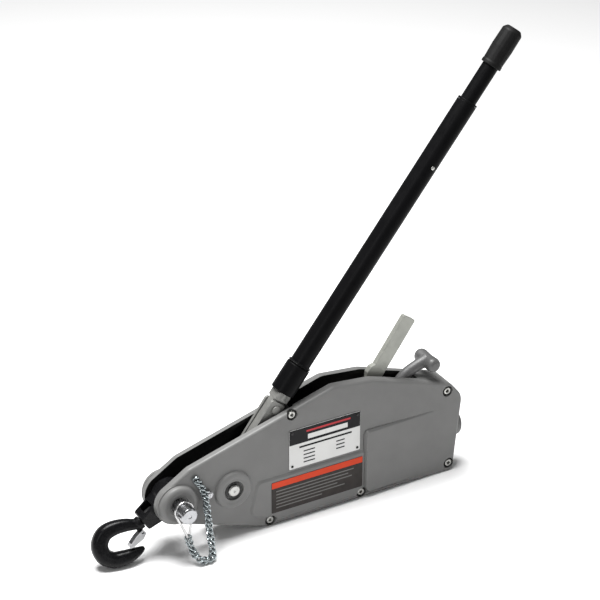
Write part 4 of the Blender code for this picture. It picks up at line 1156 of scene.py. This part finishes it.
HOOK_SPINE = [  # (distance, offset, section radius) down the hook
    (0.0600, 0.0004, 0.0086),
    (0.0640, 0.0018, 0.0088),
    (0.0700, 0.0058, 0.0094),
    (0.0780, 0.0120, 0.0106),
    (0.0940, 0.0205, 0.0121),
    (0.1110, 0.0230, 0.0133),
    (0.1260, 0.0140, 0.0140),
    (0.1310, -0.0020, 0.0140),
    (0.1240, -0.0165, 0.0130),
    (0.1105, -0.0250, 0.0122),
    (0.0980, -0.0298, 0.0102),
    (0.0875, -0.0325, 0.0074),
    (0.0805, -0.0335, 0.0046),
]


def build_yoke():
    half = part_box("hook_yoke")[1].y
    eye = spun("yoke_forging", [
        (0, -half, 0), (0.0265, -half, 0.003), (0.0265, half, 0.003), (0, half, 0)],
        side_place(ANCHOR_AXIS, 0), 64, 6)
    straps = plate("straps", yoke_outline([
        (0.0, -0.025, 0), (0.022, -0.0185, 0.02), (0.0555, -0.0122, 0.004),
        (0.0555, 0.0122, 0.004), (0.022, 0.0185, 0.02), (0.0, 0.025, 0)], 6),
        -half + 0.0004, half - 0.0004)
    soften(straps, 0.0022, 4)
    window = plate("window", yoke_outline(rectangle(0.029, -0.03, 0.045, 0.03)),
                   -0.009, 0.009)
    soften(window, 0.0015, 3)
    add(eye, straps)
    cut(eye, bore(ANCHOR_AXIS, PIN_BORE, 48), window,
        rod("swivel_bore", yoke_point(0.03), yoke_point(0.09), SWIVEL_BORE, 36))
    show(eye, "hook", "yoke", "hook_black", "hook_yoke")


def hook_section(a):
    """A forged section: squarer than round, with a shallow channel along each side."""
    p = math.copysign(abs(math.cos(a)) ** 0.86, math.cos(a))
    q = math.copysign(abs(math.sin(a)) ** 0.86, math.sin(a)) * 0.93
    channel = 1 - 0.1 * math.exp(-(q / 0.42) ** 2)
    return p * channel, q


def build_hook():
    path = smooth_path(HOOK_SPINE, 7)
    points = [hook_point(d, w) for d, w, _ in path]
    radii = [r for _, _, r in path]
    tip = points[-1] + (points[-1] - points[-2]).normalized() * 0.003
    side = hook_point(0, 0, 1) - hook_point(0, 0, 0)
    start = points[0] - YOKE_RUN * 0.0004
    body = sweep("hook_forging", [start, *points, tip], [radii[0] * 0.8, *radii, radii[-1] * 0.55],
                 32, False, side, hook_section)
    shank = rod("shank", yoke_point(0.0305), yoke_point(0.06), 0.007, 40)
    shoulder = spun("shoulder", [
        (0, 0, 0), (0.0105, 0, 0.0016), (0.0105, 0.01, 0.004), (0, 0.01, 0)],
        along(yoke_point(0.056), YOKE_RUN), 48, 6)
    web = rod("web", hook_point(0.066, 0.0), LATCH_PLACE, 0.0037, 28)
    latch_place = along(LATCH_PLACE, side)
    ear = spun("ear", [
        (0, -0.0055, 0), (0.0042, -0.0055, 0.0008), (0.0042, 0.0055, 0.0008), (0, 0.0055, 0)],
        latch_place, 32)
    add(body, shank, shoulder, web, ear)
    cut(body, rod("pin_bore", LATCH_PLACE - side * 0.02, LATCH_PLACE + side * 0.02,
                  LATCH_BORE, 20))
    show(body, "hook", "hook", "hook_black", "hook")

    nut = rod("swivel_nut_hex", yoke_point(0.032), yoke_point(0.044), 0.0085, 6)
    crown = turned("crown", [
        (0, 0), (0.0078, 0), (0.0089, 0.001), (0.0089, 0.011), (0.0078, 0.012), (0, 0.012)],
        along(yoke_point(0.032), YOKE_RUN), 40)
    combine(nut, [crown], "INTERSECT")
    cut(nut, rod("thread", yoke_point(0.02), yoke_point(0.06), SWIVEL_BORE, 32))
    show(nut, "black_steel", "hook", "hook_black", "swivel_nut")
    pin = spun("latch_pin_riveted", [
        (0, -0.011, 0), (0.0024, -0.0108, 0.0006), (0.0024, -0.0101, 0.0002),
        (0.0016, -0.01, 0), (0.0016, 0.01, 0), (0.0024, 0.0101, 0.0002),
        (0.0024, 0.0108, 0.0006), (0, 0.011, 0)], latch_place, 24, 3)
    show(pin, "zinc", "hook", "bright_zinc", "latch_pin")


def build_latch():
    """Folded sheet latch: two cheeks on the pin and a tongue across the throat."""
    run = (hook_point(0.093, -0.017) - LATCH_PLACE).normalized()
    place = Matrix((run, LATCH_SIDE, run.cross(LATCH_SIDE))).transposed().to_4x4()
    place.translation = LATCH_PLACE
    latch = plate("safety_latch_sheet", rounded([
        (-0.0044, -0.0036, 0.0016), (0.005, -0.0068, 0.004), (0.023, -0.0042, 0.006),
        (0.0288, -0.0012, 0.001), (0.0283, 0.0012, 0.001), (0.011, 0.004, 0.006),
        (-0.0044, 0.004, 0.0022)], 6), -0.0098, 0.0098)
    soften(latch, 0.0009, 3)
    cut(latch, plate("hollow", rounded([
        (-0.01, -0.005, 0), (0.005, -0.0052, 0.004), (0.0236, -0.0026, 0.001),
        (0.0236, 0.01, 0), (-0.01, 0.01, 0)], 5), -0.0084, 0.0084))
    latch.data.transform(place)
    cut(latch, rod("latch_bore", LATCH_PLACE - LATCH_SIDE * 0.02, LATCH_PLACE + LATCH_SIDE * 0.02,
                   LATCH_BORE, 20))
    show(latch, "latch", "latch", "bright_zinc", "safety_latch")


# -------- stage
def area_light(name, place, target, size, power):
    data = bpy.data.lights.new(name, "AREA")
    data.shape = "RECTANGLE"
    data.size, data.size_y = size
    data.energy = power
    made = bpy.data.objects.new(name, data)
    made.location = place
    made.rotation_euler = (Vector(target) - Vector(place)).to_track_quat("-Z", "Y").to_euler()
    bpy.context.scene.collection.objects.link(made)


def build_stage():
    work = bmesh.new()
    corners = [work.verts.new((x, y, 0)) for x, y in ((-30, -30), (30, -30), (30, 30), (-30, 30))]
    work.faces.new(corners)
    floor = new_object("floor", work)
    floor.location.z = -0.0002
    paper = bpy.data.materials.new("floor_white")
    paper.use_nodes = True
    shader = paper.node_tree.nodes["Principled BSDF"]
    shader.inputs["Base Color"].default_value = (0.9, 0.9, 0.9, 1)
    shader.inputs["Roughness"].default_value = 0.6
    floor.data.materials.append(paper)

    world = bpy.data.worlds.new("studio")
    world.use_nodes = True
    world.node_tree.nodes["Background"].inputs["Color"].default_value = (1.0, 1.0, 1.0, 1)
    world.node_tree.nodes["Background"].inputs["Strength"].default_value = 0.16
    bpy.context.scene.world = world
    area_light("top", (-0.4, 0.3, 2.6), (-0.05, 0, 0.2), (1.5, 1.5), 165)
    area_light("key", (-2.4, -1.5, 1.9), (-0.05, 0, 0.2), (0.9, 1.3), 13)
    area_light("side", (2.4, -1.8, 1.2), (0, 0, 0.2), (0.4, 1.8), 6)

    data = bpy.data.cameras.new("camera")
    data.sensor_width = 36
    data.lens = 144
    data.clip_end = 100
    camera = bpy.data.objects.new("camera", data)
    camera.location = (-1.63736, -2.70775, 2.02219)
    camera.rotation_euler = (math.radians(90 - 28.07), 0, math.radians(-29.65))
    bpy.context.scene.collection.objects.link(camera)
    bpy.context.scene.camera = camera
    bpy.context.scene.view_settings.view_transform = "Standard"


LOOKS = make_materials()
build_stage()
build_case()
build_fasteners()
build_shafts()
build_clip()
build_chain()
build_chain_screw()
build_rating_plate()
build_label()
build_guide()
build_lever()
build_handle()
keep_mechanism()
build_reverse_lever()
build_release_lever()
build_yoke()
build_hook()
build_latch()
